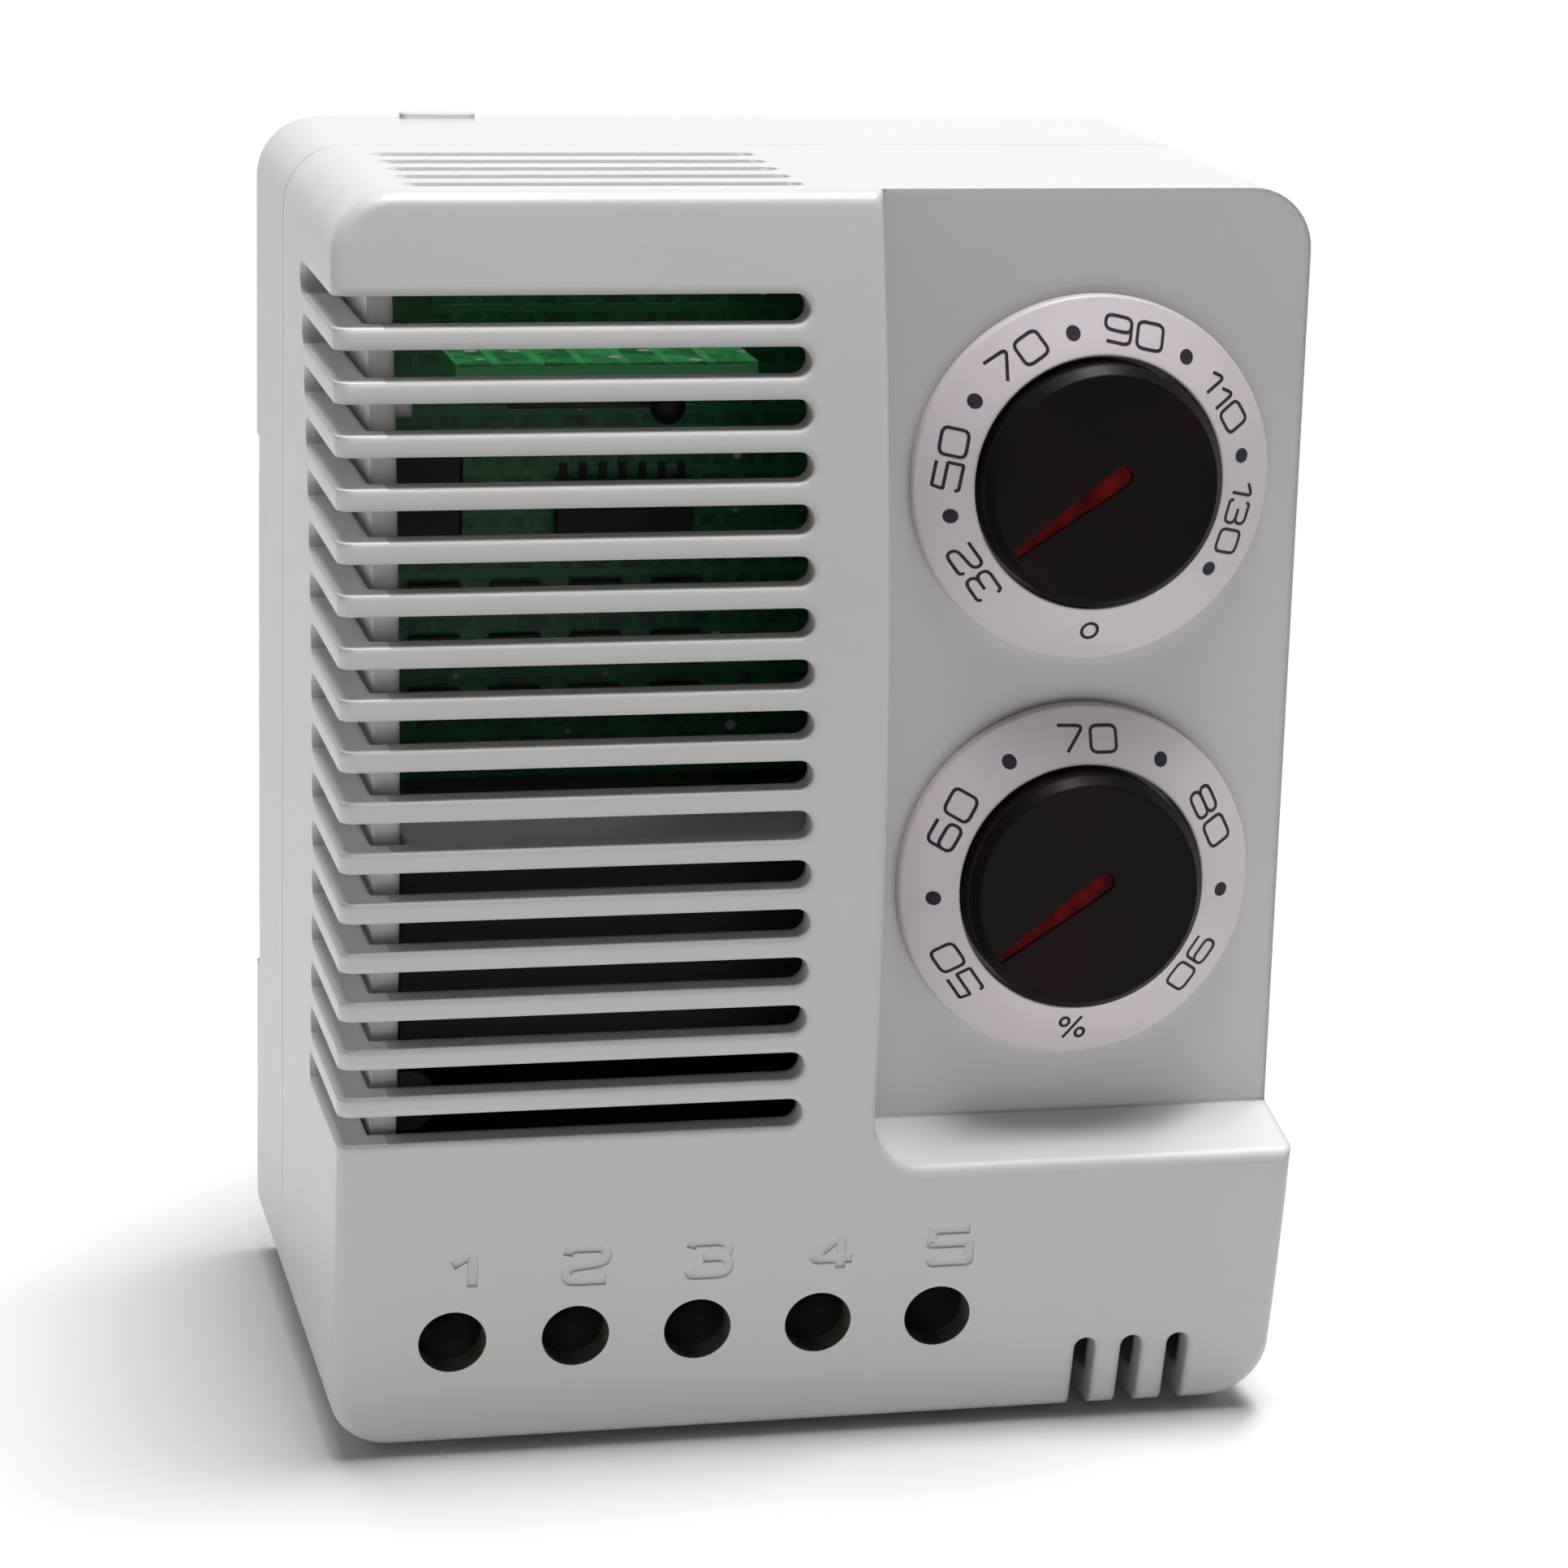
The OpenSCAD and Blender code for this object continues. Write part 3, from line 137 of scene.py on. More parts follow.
class Nodes:
    """A material's node tree, with short calls to add and link its nodes."""

    def __init__(self, name):
        self.material = bpy.data.materials.new(name)
        self.material.use_nodes = True
        self.tree = self.material.node_tree
        self.shader = self.tree.nodes["Principled BSDF"]
        self.place = self.add("ShaderNodeTexCoord").outputs["Object"]

    def add(self, kind, **settings):
        node = self.tree.nodes.new(kind)
        for key, value in settings.items():
            setattr(node, key, value)
        return node

    def link(self, output, socket):
        self.tree.links.new(output, socket)

    def noise(self, size_mm, detail=2.0, roughness=0.5, stretch=(1, 1, 1)):
        """A noise whose features are about size_mm across."""
        mapping = self.add("ShaderNodeMapping")
        mapping.inputs["Scale"].default_value = stretch
        self.link(self.place, mapping.inputs["Vector"])
        noise = self.add("ShaderNodeTexNoise")
        noise.inputs["Scale"].default_value = 1 / (size_mm * MM)
        noise.inputs["Detail"].default_value = detail
        noise.inputs["Roughness"].default_value = roughness
        self.link(mapping.outputs["Vector"], noise.inputs["Vector"])
        return noise.outputs["Fac"]

    def ramp(self, value, stops):
        """A colour ramp: stops are (place, colour)."""
        ramp = self.add("ShaderNodeValToRGB")
        elements = ramp.color_ramp.elements
        while len(elements) < len(stops):
            elements.new(0.5)
        for element, (place, colour) in zip(elements, stops):
            element.position = place
            element.color = (*colour, 1)
        self.link(value, ramp.inputs["Fac"])
        return ramp.outputs["Color"]

    def mix(self, factor, a, b):
        """From colour a to colour b. Each value is a socket or plain."""
        mix = self.add("ShaderNodeMix", data_type="RGBA")
        for value, socket in ((factor, mix.inputs[0]), (a, mix.inputs[6]), (b, mix.inputs[7])):
            if isinstance(value, bpy.types.NodeSocket):
                self.link(value, socket)
            else:
                socket.default_value = value if socket is mix.inputs[0] else (*value, 1)
        return mix.outputs[2]

    def math(self, operation, *values):
        """A sum on sockets and plain numbers."""
        node = self.add("ShaderNodeMath", operation=operation)
        for value, socket in zip(values, node.inputs):
            if isinstance(value, bpy.types.NodeSocket):
                self.link(value, socket)
            else:
                socket.default_value = value
        return node.outputs[0]

    def axes(self):
        """The place along x, y and z, in metres."""
        split = self.add("ShaderNodeSeparateXYZ")
        self.link(self.place, split.inputs[0])
        return split.outputs

    def upward(self, normal):
        """How far a surface faces up, from one of the geometry's normals."""
        split = self.add("ShaderNodeSeparateXYZ")
        self.link(self.add("ShaderNodeNewGeometry").outputs[normal], split.inputs[0])
        return split.outputs["Z"]

    def inside(self, low, high):
        """1 within a box given in millimetres, 0 outside it."""
        result = None
        for axis, a, b in zip(self.axes(), low, high):
            for test in (
                self.math("GREATER_THAN", axis, a * MM), self.math("LESS_THAN", axis, b * MM)
            ):
                result = self.math("MULTIPLY", result, test) if result else test
        return result

    def spread(self, value, low, high, start=0.0, end=1.0):
        """Maps start..end to low..high."""
        spread = self.add("ShaderNodeMapRange")
        spread.inputs["From Min"].default_value = start
        spread.inputs["From Max"].default_value = end
        spread.inputs["To Min"].default_value = low
        spread.inputs["To Max"].default_value = high
        self.link(value, spread.inputs["Value"])
        return spread.outputs["Result"]

    def bump(self, heights, edge_mm=0):
        """Bumps from (height, depth in mm) pairs, one on top of the other. Sharp edges
        shade as rounded to a radius of edge_mm."""
        normal = None
        if edge_mm:
            edges = self.add("ShaderNodeBevel", samples=8)
            if isinstance(edge_mm, bpy.types.NodeSocket):
                self.link(edge_mm, edges.inputs["Radius"])
            else:
                edges.inputs["Radius"].default_value = edge_mm * MM
            normal = edges.outputs["Normal"]
        for height, depth in heights:
            bump = self.add("ShaderNodeBump")
            bump.inputs["Distance"].default_value = depth * MM
            bump.inputs["Strength"].default_value = 1.0
            self.link(height, bump.inputs["Height"])
            if normal:
                self.link(normal, bump.inputs["Normal"])
            normal = bump.outputs["Normal"]
        self.link(normal, self.shader.inputs["Normal"])

    def finish(self, **sockets):
        """Sets or links the shader's sockets by name and gives the material back."""
        for name, value in sockets.items():
            socket = self.shader.inputs[name.replace("_", " ")]
            if isinstance(value, bpy.types.NodeSocket):
                self.link(value, socket)
            else:
                socket.default_value = (*value, 1) if isinstance(value, tuple) else value
        return self.material


def shade(colour, factor):
    """A lighter or darker colour."""
    return tuple(min(1.0, c * factor) for c in colour)


def plastic(name, colour, roughness, grain_mm=0.25, grain_depth=0.006, mottle=0.03,
            specular=0.5, edge_mm=0):
    """Moulded plastic: a fine spark-eroded grain, a slow change of tone and of gloss."""
    n = Nodes(name)
    slow = n.noise(14, 3)
    fine = n.noise(grain_mm, 2, 0.6)
    tone = n.ramp(slow, [(0.3, shade(colour, 1 - mottle)), (0.7, shade(colour, 1 + mottle))])
    n.bump([(fine, grain_depth), (n.noise(grain_mm * 4, 2), grain_depth * 1.5)], edge_mm)
    return n.finish(
        Base_Color=tone,
        Roughness=n.spread(n.noise(3, 2), roughness - 0.05, roughness + 0.06),
        Specular_IOR_Level=specular,
    )


HOUSING_GREY = (0.560, 0.546, 0.547)
# Painted light: near white on the top slots' walls and the upward faces in the side slots
SLOT_WALLS_PAINTED_LIGHT = (0.95, 0.95, 0.95)
# Painted light: a lighter grey on the ledge where it faces up
LEDGE_PAINTED_LIGHT = (0.77, 0.755, 0.755)
# Painted shade: dark green in the screwdriver holes' bores
BORE_PAINTED_SHADE = (0.075, 0.1, 0.062)


def housing_plastic():
    """The housing's light grey. Its edges shade as rounded, less so round the numbers. The
    bores of the screwdriver holes carry painted shade, and the walls of the top slots, the
    upward faces in the side slots and the ledge carry painted light, lighter than the grey."""
    n = Nodes("housing_grey")
    tone = n.ramp(
        n.noise(14, 3),
        [(0.3, shade(HOUSING_GREY, 0.988)), (0.7, shade(HOUSING_GREY, 1.012))],
    )
    x, _, z = n.axes()

    # The bores, dark with painted shade: within a hole's radius of the nearest hole's middle
    from_first = n.math("SUBTRACT", x, HOLE_X * MM)
    number = n.math("ROUND", n.math("DIVIDE", from_first, HOLE_PITCH * MM))
    number = n.math("MINIMUM", n.math("MAXIMUM", number, 0.0), 4.0)
    across = n.math("SUBTRACT", from_first, n.math("MULTIPLY", number, HOLE_PITCH * MM))
    up = n.math("SUBTRACT", z, HOLE_Z * MM)
    away = n.math(
        "SQRT", n.math("ADD", n.math("MULTIPLY", across, across), n.math("MULTIPLY", up, up))
    )
    bore = n.math("LESS_THAN", away, (HOLE_R + 0.02) * MM)
    bore = n.math("MULTIPLY", bore, n.inside((LEFT, CROWN_Y, BOTTOM), (RIGHT, -20, 0)))

    # Painted light on the top slots' walls, the side slots' upward faces and the ledge
    slots = n.inside((LEFT + 4, CROWN_Y + 7.2, TOP - 1.95), (LEFT + 32, PART_Y - 1, TOP - 0.03))
    side = n.inside((LEFT, CROWN_Y + 0.5, SLOTS_LOW_Z), (LEFT + 3, -24, SLOTS_HIGH_Z))
    side = n.math("MULTIPLY", side, n.math("GREATER_THAN", n.upward("True Normal"), 0.8))
    ledge = n.inside(
        (RECESS_X - 0.5, CROWN_Y, LEDGE_Z - 1), (RIGHT, RECESS_FLOOR_Y - 0.2, LEDGE_Z + 4)
    )
    ledge = n.math("MULTIPLY", ledge, n.spread(n.upward("Normal"), 0, 1, 0.3, 0.9))
    # Painted light: the top slots' walls and the side slots' upward faces made lighter
    tone = n.mix(n.math("MAXIMUM", slots, side), tone, SLOT_WALLS_PAINTED_LIGHT)
    # Painted light: the ledge made lighter where it faces up
    tone = n.mix(ledge, tone, LEDGE_PAINTED_LIGHT)
    # Painted shade: the bores made dark
    tone = n.mix(bore, tone, BORE_PAINTED_SHADE)

    # Edges shade 0.1 mm round by the holes and numbers, and 0.8 mm round elsewhere
    sideways = n.math("ABSOLUTE", n.math("ADD", x, 6.5 * MM))
    upward = n.math("ABSOLUTE", n.math("SUBTRACT", z, (HOLE_Z + 2.4) * MM))
    away = n.math(
        "MAXIMUM", n.math("DIVIDE", sideways, 20.5 * MM), n.math("DIVIDE", upward, 5 * MM)
    )
    edge = n.spread(away, 0.1 * MM, 0.8 * MM, 1.0, 1.2)
    n.bump([(n.noise(0.22, 2, 0.6), 0.005), (n.noise(0.88, 2), 0.0075)], edge)
    return n.finish(
        Base_Color=tone, Roughness=n.spread(n.noise(3, 2), 0.29, 0.40), Specular_IOR_Level=0.5
    )


def knob_plastic():
    """Very dark red plastic: nearly black, and faintly red in patches."""
    n = Nodes("knob_dark_red")
    patches = n.noise(7, 2)
    tone = n.ramp(patches, [(0.4, (0.0035, 0.0035, 0.0035)), (0.78, (0.012, 0.0038, 0.0042))])
    n.bump([(n.noise(0.3, 2, 0.6), 0.003)], 0.25)
    return n.finish(
        Base_Color=tone,
        Roughness=n.spread(n.noise(2, 2), 0.26, 0.34),
        Specular_IOR_Level=0.06,
    )


def red_insert():
    """The pointers' dark red."""
    n = Nodes("pointer_red")
    tone = n.ramp(n.noise(1.6, 2), [(0.35, (0.04, 0.0012, 0.0012)), (0.7, (0.15, 0.004, 0.004))])
    n.bump([(n.noise(0.2, 2), 0.003)])
    return n.finish(Base_Color=tone, Roughness=0.45, Specular_IOR_Level=0.04)


def printing_ink():
    """The scales' blue-black ink."""
    n = Nodes("dial_ink")
    tone = n.ramp(n.noise(0.5, 3), [(0.3, (0.012, 0.009, 0.020)), (0.7, (0.024, 0.019, 0.036))])
    n.bump([(n.noise(0.12, 2), 0.002)])
    return n.finish(Base_Color=tone, Roughness=0.5, Specular_IOR_Level=0.2)


def circuit_board(name, colour):
    """Green solder mask over copper tracks, with scattered small pads."""
    n = Nodes(name)
    tracks = n.add("ShaderNodeTexBrick", offset=0.5, squash=0.6, squash_frequency=3)
    tracks.inputs["Scale"].default_value = 1 / (5.2 * MM)
    tracks.inputs["Mortar Size"].default_value = 0.06
    tracks.inputs["Mortar Smooth"].default_value = 0.1
    turn = n.add("ShaderNodeMapping")
    turn.inputs["Rotation"].default_value = (math.radians(90), 0, 0)
    n.link(n.place, turn.inputs["Vector"])
    n.link(turn.outputs["Vector"], tracks.inputs["Vector"])
    pads = n.add("ShaderNodeTexVoronoi")
    pads.inputs["Scale"].default_value = 1 / (2.6 * MM)
    pads.inputs["Randomness"].default_value = 0.65
    n.link(turn.outputs["Vector"], pads.inputs["Vector"])
    pad = n.ramp(pads.outputs["Distance"], [(0.14, (1, 1, 1)), (0.18, (0, 0, 0))])
    cloud = n.ramp(n.noise(1.8, 4, 0.7), [(0.38, shade(colour, 0.45)), (0.66, shade(colour, 1.35))])
    mask = n.mix(tracks.outputs["Fac"], cloud, shade(colour, 1.3))
    tone = n.mix(pad, mask, (0.42, 0.44, 0.42))
    n.bump([(tracks.outputs["Fac"], 0.03), (n.noise(0.3, 2), 0.004)])
    return n.finish(
        Base_Color=tone, Roughness=n.spread(n.noise(1.5, 2), 0.28, 0.42), Specular_IOR_Level=0.25
    )


def metal(name, colour, roughness):
    """Plated or rolled metal, with fine lines along one way and cloudy plating."""
    n = Nodes(name)
    lines = n.noise(1.2, 3, 0.6, stretch=(1, 1, 12))
    cloud = n.noise(2.5, 3)
    tone = n.ramp(cloud, [(0.3, shade(colour, 0.86)), (0.7, shade(colour, 1.05))])
    n.bump([(lines, 0.006)])
    return n.finish(
        Base_Color=tone, Metallic=1.0, Roughness=n.spread(cloud, roughness - 0.06, roughness + 0.1)
    )


def copper_wire():
    """Enamelled wire in close turns round the bobbin."""
    n = Nodes("copper_winding")
    wave = n.add("ShaderNodeTexWave", wave_type="BANDS", bands_direction="Y", wave_profile="SIN")
    wave.inputs["Scale"].default_value = 1 / (0.7 * MM)
    wave.inputs["Distortion"].default_value = 0.4
    n.link(n.place, wave.inputs["Vector"])
    tone = n.ramp(wave.outputs["Fac"], [(0.1, (0.18, 0.05, 0.02)), (0.8, (0.62, 0.24, 0.09))])
    n.bump([(wave.outputs["Fac"], 0.05)])
    return n.finish(Base_Color=tone, Metallic=1.0, Roughness=0.3)


def tinted_lamp():
    """Partly clear red resin."""
    n = Nodes("lamp_resin")
    tone = n.ramp(n.noise(2, 2), [(0.3, (0.55, 0.08, 0.06)), (0.7, (0.7, 0.12, 0.08))])
    n.bump([(n.noise(0.6, 2), 0.003)])
    return n.finish(Base_Color=tone, Roughness=0.12, Transmission_Weight=0.6, IOR=1.5)


DIAL_GREY = plastic("dial_warm_grey", (0.66, 0.60, 0.615), 0.38, grain_mm=0.3,
                    grain_depth=0.003, mottle=0.012, edge_mm=0.2)
MATERIALS = {
    "housing": housing_plastic(),
    "dial": DIAL_GREY,
    "knob": knob_plastic(),
    "pointer": red_insert(),
    "pot_case": plastic("pot_blue", (0.02, 0.045, 0.16), 0.4),
    "pot_shaft": plastic("shaft_white", (0.7, 0.68, 0.62), 0.45),
    "tinned_metal": metal("tinned_pins", (0.75, 0.75, 0.74), 0.28),
    "lamp": tinted_lamp(),
    "board": circuit_board("board_green", (0.008, 0.10, 0.032)),
    "sensor_board": circuit_board("sensor_board_green", (0.045, 0.30, 0.085)),
    "header": plastic("header_black", (0.012, 0.012, 0.012), 0.4, specular=0.2),
    "sensor": plastic("sensor_dark", (0.025, 0.03, 0.026), 0.5, specular=0.2),
    "black_part": plastic("moulded_black", (0.009, 0.009, 0.010), 0.42, specular=0.15),
    "block": plastic("block_dark_green", (0.034, 0.050, 0.027), 0.45, specular=0.2),
    "brass": metal("brass_strip", (0.66, 0.48, 0.22), 0.3),
    "bobbin": plastic("bobbin_white", (0.66, 0.64, 0.58), 0.45),
    "copper": copper_wire(),
    "steel": metal("plated_steel", (0.56, 0.56, 0.57), 0.33),
    "zinc": metal("zinc_cage", (0.62, 0.61, 0.57), 0.36),
    "film": plastic("film_dark", (0.012, 0.012, 0.014), 0.4, specular=0.2),
    "can": plastic("can_sleeve", (0.018, 0.03, 0.10), 0.25, grain_depth=0.002),
    "varistor": plastic("varistor_blue", (0.02, 0.07, 0.26), 0.3, grain_mm=0.8, grain_depth=0.02),
    "ceramic": plastic("ceramic_tan", (0.50, 0.36, 0.22), 0.55, grain_mm=0.5, grain_depth=0.015),
    "latch": plastic("latch_dark", (0.05, 0.05, 0.053), 0.45),
}
INK = printing_ink()
SLOT_OF = {s["node"]: s["material_slot"] for s in frame["record"]["subparts"]}
BODY_OF = {n: b for b, ns in frame["record"]["behaviour"]["bodies"].items() for n in ns}


# Mesh building


def new_object(name, data):
    obj = bpy.data.objects.new(name, data)
    bpy.context.scene.collection.objects.link(obj)
    return obj


def new_mesh(name, bm):
    mesh = bpy.data.meshes.new(name)
    bm.to_mesh(mesh)
    bm.free()
    return mesh


def add_object(name, mesh, material, body):
    """Puts a mesh into the scene, riding on a CAD body."""
    obj = new_object(name, mesh)
    mesh.materials.clear()
    mesh.materials.append(material)
    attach(obj, body)
    return obj


def smooth_by_angle(mesh, degrees):
    """Shades smooth, but for the edges sharper than an angle."""
    mesh.shade_smooth()
    mesh.set_sharp_from_angle(angle=math.radians(degrees))


def clean_mesh(node):
    """A copy of a CAD node's mesh with its flat faces joined into single ones."""
    mesh = frame["nodes"][node].data.copy()
    if mesh.attributes.get("custom_normal"):
        mesh.attributes.remove(mesh.attributes["custom_normal"])
    bm = bmesh.new()
    bm.from_mesh(mesh)
    bmesh.ops.remove_doubles(bm, verts=bm.verts, dist=0.002 * MM)
    bmesh.ops.dissolve_limit(
        bm, angle_limit=math.radians(0.6), verts=bm.verts, edges=bm.edges,
        use_dissolve_boundaries=False,
    )
    return mesh, bm


def rounded(node, width_at, widest):
    """Stands for a CAD node, with its sharp edges rounded: width_at gives each edge's
    width in millimetres from its middle, its direction and whether it is convex."""
    mesh, bm = clean_mesh(node)
    layer = bm.edges.layers.float.new("bevel_weight_edge")
    for edge in bm.edges:
        if len(edge.link_faces) != 2 or edge.calc_face_angle(0) < math.radians(24):
            continue
        a, b = (v.co / MM for v in edge.verts)
        edge[layer] = min(1, width_at((a + b) / 2, (b - a).normalized(), edge.is_convex) / widest)
    bm.to_mesh(mesh)
    bm.free()
    slot = SLOT_OF[node]
    obj = add_object(node + "_dressed", mesh, MATERIALS[slot], BODY_OF[node])
    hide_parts(node)
    bevel = obj.modifiers.new("rounding", "BEVEL")
    bevel.limit_method = "WEIGHT"
    bevel.width = widest * MM
    bevel.segments = 3
    bevel.use_clamp_overlap = True
    bevel.harden_normals = False
    bevel.miter_outer = "MITER_ARC"
    smooth_by_angle(mesh, 30)
    return obj


def clear_of_corners(x, z):
    """False only inside the four circles that round the housing's corners."""
    return math.hypot(abs(x) - (RIGHT - CORNER_R), abs(z) - (TOP - CORNER_R)) > CORNER_R - 0.1


def housing_width(middle, along, convex):
    """Edge rounding of the cover, in millimetres."""
    x, y, z = middle
    on_front = y < face_y(z) + 0.3
    on_recess_floor = abs(y - RECESS_FLOOR_Y) < 0.1
    in_slots = SLOTS_LOW_Z - 0.1 < z < SLOTS_HIGH_Z + 0.1 and x < LEFT + SLOT_REACH + 0.1
    if abs(y - PART_Y) < 0.05:
        return 0.15 if clear_of_corners(x, z) else 0
    # Side slots, widest at the bars' front left corners
    if in_slots:
        if abs(along.z) > 0.9 and x < LEFT + 0.1 and on_front:
            return 0.8
        return 0.3 if on_front or x < LEFT + 0.1 else 0
    # The dial recess, with its outer rims and its floor
    if x > RECESS_X + 0.3 and y > RECESS_FLOOR_Y - 0.3 and z > LEDGE_Z:
        if x > RIGHT - 0.2 or z > TOP - 0.2:
            return 0.8
        if on_recess_floor:
            return 0.35 if convex else 0.5
        return 0
    # The curved front, with the screwdriver holes and the corner slots
    if on_front:
        if abs(z - HOLE_Z) < 2.3 and abs(x - HOLES_MIDDLE_X) < 18:
            return 0.3
        if RIGHT - 13.6 < x < RIGHT - 5.0 and z < BOTTOM + 6.4:
            return 0.25
        return 0.8 if convex else 0.5
    if abs(x - RECESS_X) < 0.1 or on_recess_floor:
        return 0.5
    # Top slots, underside and the ledge's outer end
    if z > TOP - 0.1 and x < LEFT + 29:
        return 0.22
    if z < BOTTOM + 0.1:
        return 0.2
    if x > RIGHT - 0.1 and z < LEDGE_Z + 2:
        return 0.5
    return 0


def base_width(middle, along, convex):
    """Edge rounding of the rear base, in millimetres."""
    x, y, z = middle
    clear = clear_of_corners(x, z)
    if abs(y - PART_Y) < 0.05:
        return 0.15 if clear else 0
    if y > REAR_Y + 0.05:
        return 0.25
    if y > REAR_Y - 0.05:
        return 0.6 if clear and abs(z) > 19 else 0.2
    return 0.4 if clear and y > -0.05 else 0


def even(width):
    """The same rounding for each edge."""
    return lambda middle, along, convex: width


# Digits and marks

# Corner points of each digit's strokes, in a cell 0.8 wide and 1 high; True where closed
DIGITS = {
    "0": [(True, [(0, 0), (0.8, 0), (0.8, 1), (0, 1)])],
    "1": [(False, [(0, 0.68), (0.4, 1), (0.4, 0)])],
    "2": [(False, [(0.02, 0.8), (0.06, 1), (0.8, 1), (0.8, 0.54), (0, 0.42), (0, 0), (0.8, 0)])],
    "3": [
        (False, [(0.02, 0.84), (0.06, 1), (0.78, 1), (0.78, 0.52), (0.28, 0.52)]),
        (False, [(0.28, 0.52), (0.8, 0.52), (0.8, 0), (0.04, 0), (0, 0.18)]),
    ],
    "4": [(False, [(0.62, 0), (0.62, 1), (0, 0.28), (0.85, 0.28)])],
    "5": [(False, [(0.78, 1), (0.04, 1), (0, 0.58), (0.8, 0.58), (0.8, 0), (0.04, 0), (0, 0.15)])],
    "6": [
        (False, [(0.72, 1), (0, 1), (0, 0.3)]),
        (True, [(0, 0), (0.8, 0), (0.8, 0.56), (0, 0.56)]),
    ],
    "7": [(False, [(0, 1), (0.8, 1), (0.28, 0)])],
    "8": [
        (True, [(0, 0.52), (0.8, 0.52), (0.8, 1), (0, 1)]),
        (True, [(0, 0), (0.8, 0), (0.8, 0.52), (0, 0.52)]),
    ],
    "9": [
        (False, [(0.08, 0), (0.8, 0), (0.8, 0.7)]),
        (True, [(0, 0.44), (0.8, 0.44), (0.8, 1), (0, 1)]),
    ],
}
DIGIT_CELLS = {"1": 0.4}
DIGIT_CELL, DIGIT_GAP = 0.8, 0.28
CORNER_ROUNDINGS = {"5": 0.05}
CORNER_ROUNDING = 0.24


def round_corners(points, closed, radius):
    """A polyline's points with each corner replaced by an arc-like curve."""
    steps = 5
    count = len(points)
    out = []
    for i, p in enumerate(points):
        p = Vector(p)
        if not closed and i in (0, count - 1):
            out.append(p)
            continue
        before, after = Vector(points[i - 1]), Vector(points[(i + 1) % count])
        r = min(radius, (before - p).length / 2, (after - p).length / 2)
        a, b = p + (before - p).normalized() * r, p + (after - p).normalized() * r
        for k in range(steps + 1):
            t = k / steps
            out.append(a * (1 - t) ** 2 + p * 2 * t * (1 - t) + b * t * t)
    clean = [out[0]]
    for p in out[1:]:
        if (p - clean[-1]).length > 1e-4:
            clean.append(p)
    if closed and (clean[0] - clean[-1]).length < 1e-4:
        clean.pop()
    return clean


def stroke(bm, points, closed, profile, place, solid=False):
    """Sweeps a profile of (offset, height) points along a flat polyline; place turns
    (u, v, height) into a point of the model. A solid stroke's profile is closed."""
    count = len(points)
    rows = []
    for i, p in enumerate(points):
        before = points[i - 1] if closed or i else p
        after = points[(i + 1) % count] if closed or i < count - 1 else p
        d1, d2 = p - before, after - p
        d1 = d1.normalized() if d1.length else d2.normalized()
        d2 = d2.normalized() if d2.length else d1
        along = (d1 + d2).normalized() if (d1 + d2).length > 1e-6 else d1
        side = Vector((-along.y, along.x))
        stretch = 1 / max(0.5, side.dot(Vector((-d1.y, d1.x))))
        rows.append([bm.verts.new(place(*(p + side * w * stretch), h)) for w, h in profile])
    for i in range(count if closed else count - 1):
        a, b = rows[i], rows[(i + 1) % count]
        for k in range(len(profile) if solid else len(profile) - 1):
            k2 = (k + 1) % len(profile)
            bm.faces.new((a[k], a[k2], b[k2], b[k]))
    if not closed and solid:
        for row in (rows[0], rows[-1]):
            bm.faces.new(row)


def write_number(bm, text, height, width, profile, place, solid=False):
    """Digits side by side, centred on a place."""
    gap = DIGIT_GAP * height
    cells = [DIGIT_CELLS.get(digit, DIGIT_CELL) * width for digit in text]
    u = -(sum(cells) + (len(text) - 1) * gap) / 2
    for digit, cell in zip(text, cells):
        rounding = CORNER_ROUNDINGS.get(digit, CORNER_ROUNDING)
        for closed, corners in DIGITS[digit]:
            points = [
                Vector((u + x * width, (y - 0.5) * height))
                for x, y in round_corners(corners, closed, rounding)
            ]
            stroke(bm, points, closed, profile, place, solid)
        u += cell + gap


def ellipse(sides, width, height, middle=(0, 0)):
    """Points round an ellipse, given its half width and half height."""
    angles = (math.tau * k / sides for k in range(sides))
    u, v = middle
    return [Vector((u + width * math.cos(a), v + height * math.sin(a))) for a in angles]


def dial_place(centre, clock):
    """Turns (tangent, radial, height) in millimetres into a point on a dial's cone,
    at a clock angle seen from the front, with the figures' tops outward."""
    a = math.radians(clock)
    outward = Vector((math.sin(a), 0, math.cos(a)))
    tangent = Vector((math.cos(a), 0, -math.sin(a)))

    def place(u, v, height):
        flat = outward * (MARK_R + v) + tangent * u
        share = (DIAL_R - flat.length) / (DIAL_R - WELL_R)
        rise = DIAL_EDGE_H + (DIAL_H - DIAL_EDGE_H) * share
        y = RECESS_FLOOR_Y - rise - INK_LIFT - height
        return Vector((centre.x + flat.x, y, centre.z + flat.z)) * MM

    return place


def dial_scale(name, node, joint, numbers, dots, unit):
    """The printed scale of one dial: numbers, dots and a unit sign."""
    x, _, z = JOINTS[joint]["pos_m"]
    centre = Vector((x / MM, 0, z / MM))
    bm = bmesh.new()
    for clock, text in numbers:
        width = MARK_WIDTH if len(text) < 3 else NARROW_MARK_WIDTH
        write_number(bm, text, MARK_HEIGHT, width, INK_LINE, dial_place(centre, clock))
    for clock in dots:
        place = dial_place(centre, clock)
        bm.faces.new([bm.verts.new(place(*p, 0)) for p in ellipse(20, DOT_R, DOT_R)])
    unit(bm, centre)
    bmesh.ops.recalc_face_normals(bm, faces=bm.faces)
    for face in bm.faces:
        if face.normal.y > 0:
            face.normal_flip()
    return add_object(name, new_mesh(name, bm), INK, BODY_OF[node])


def degree_sign(bm, centre):
    """A plain ring at the foot of the temperature dial."""
    stroke(bm, ellipse(20, 0.5, 0.5), True, INK_LINE, dial_place(centre, UNIT_CLOCK))


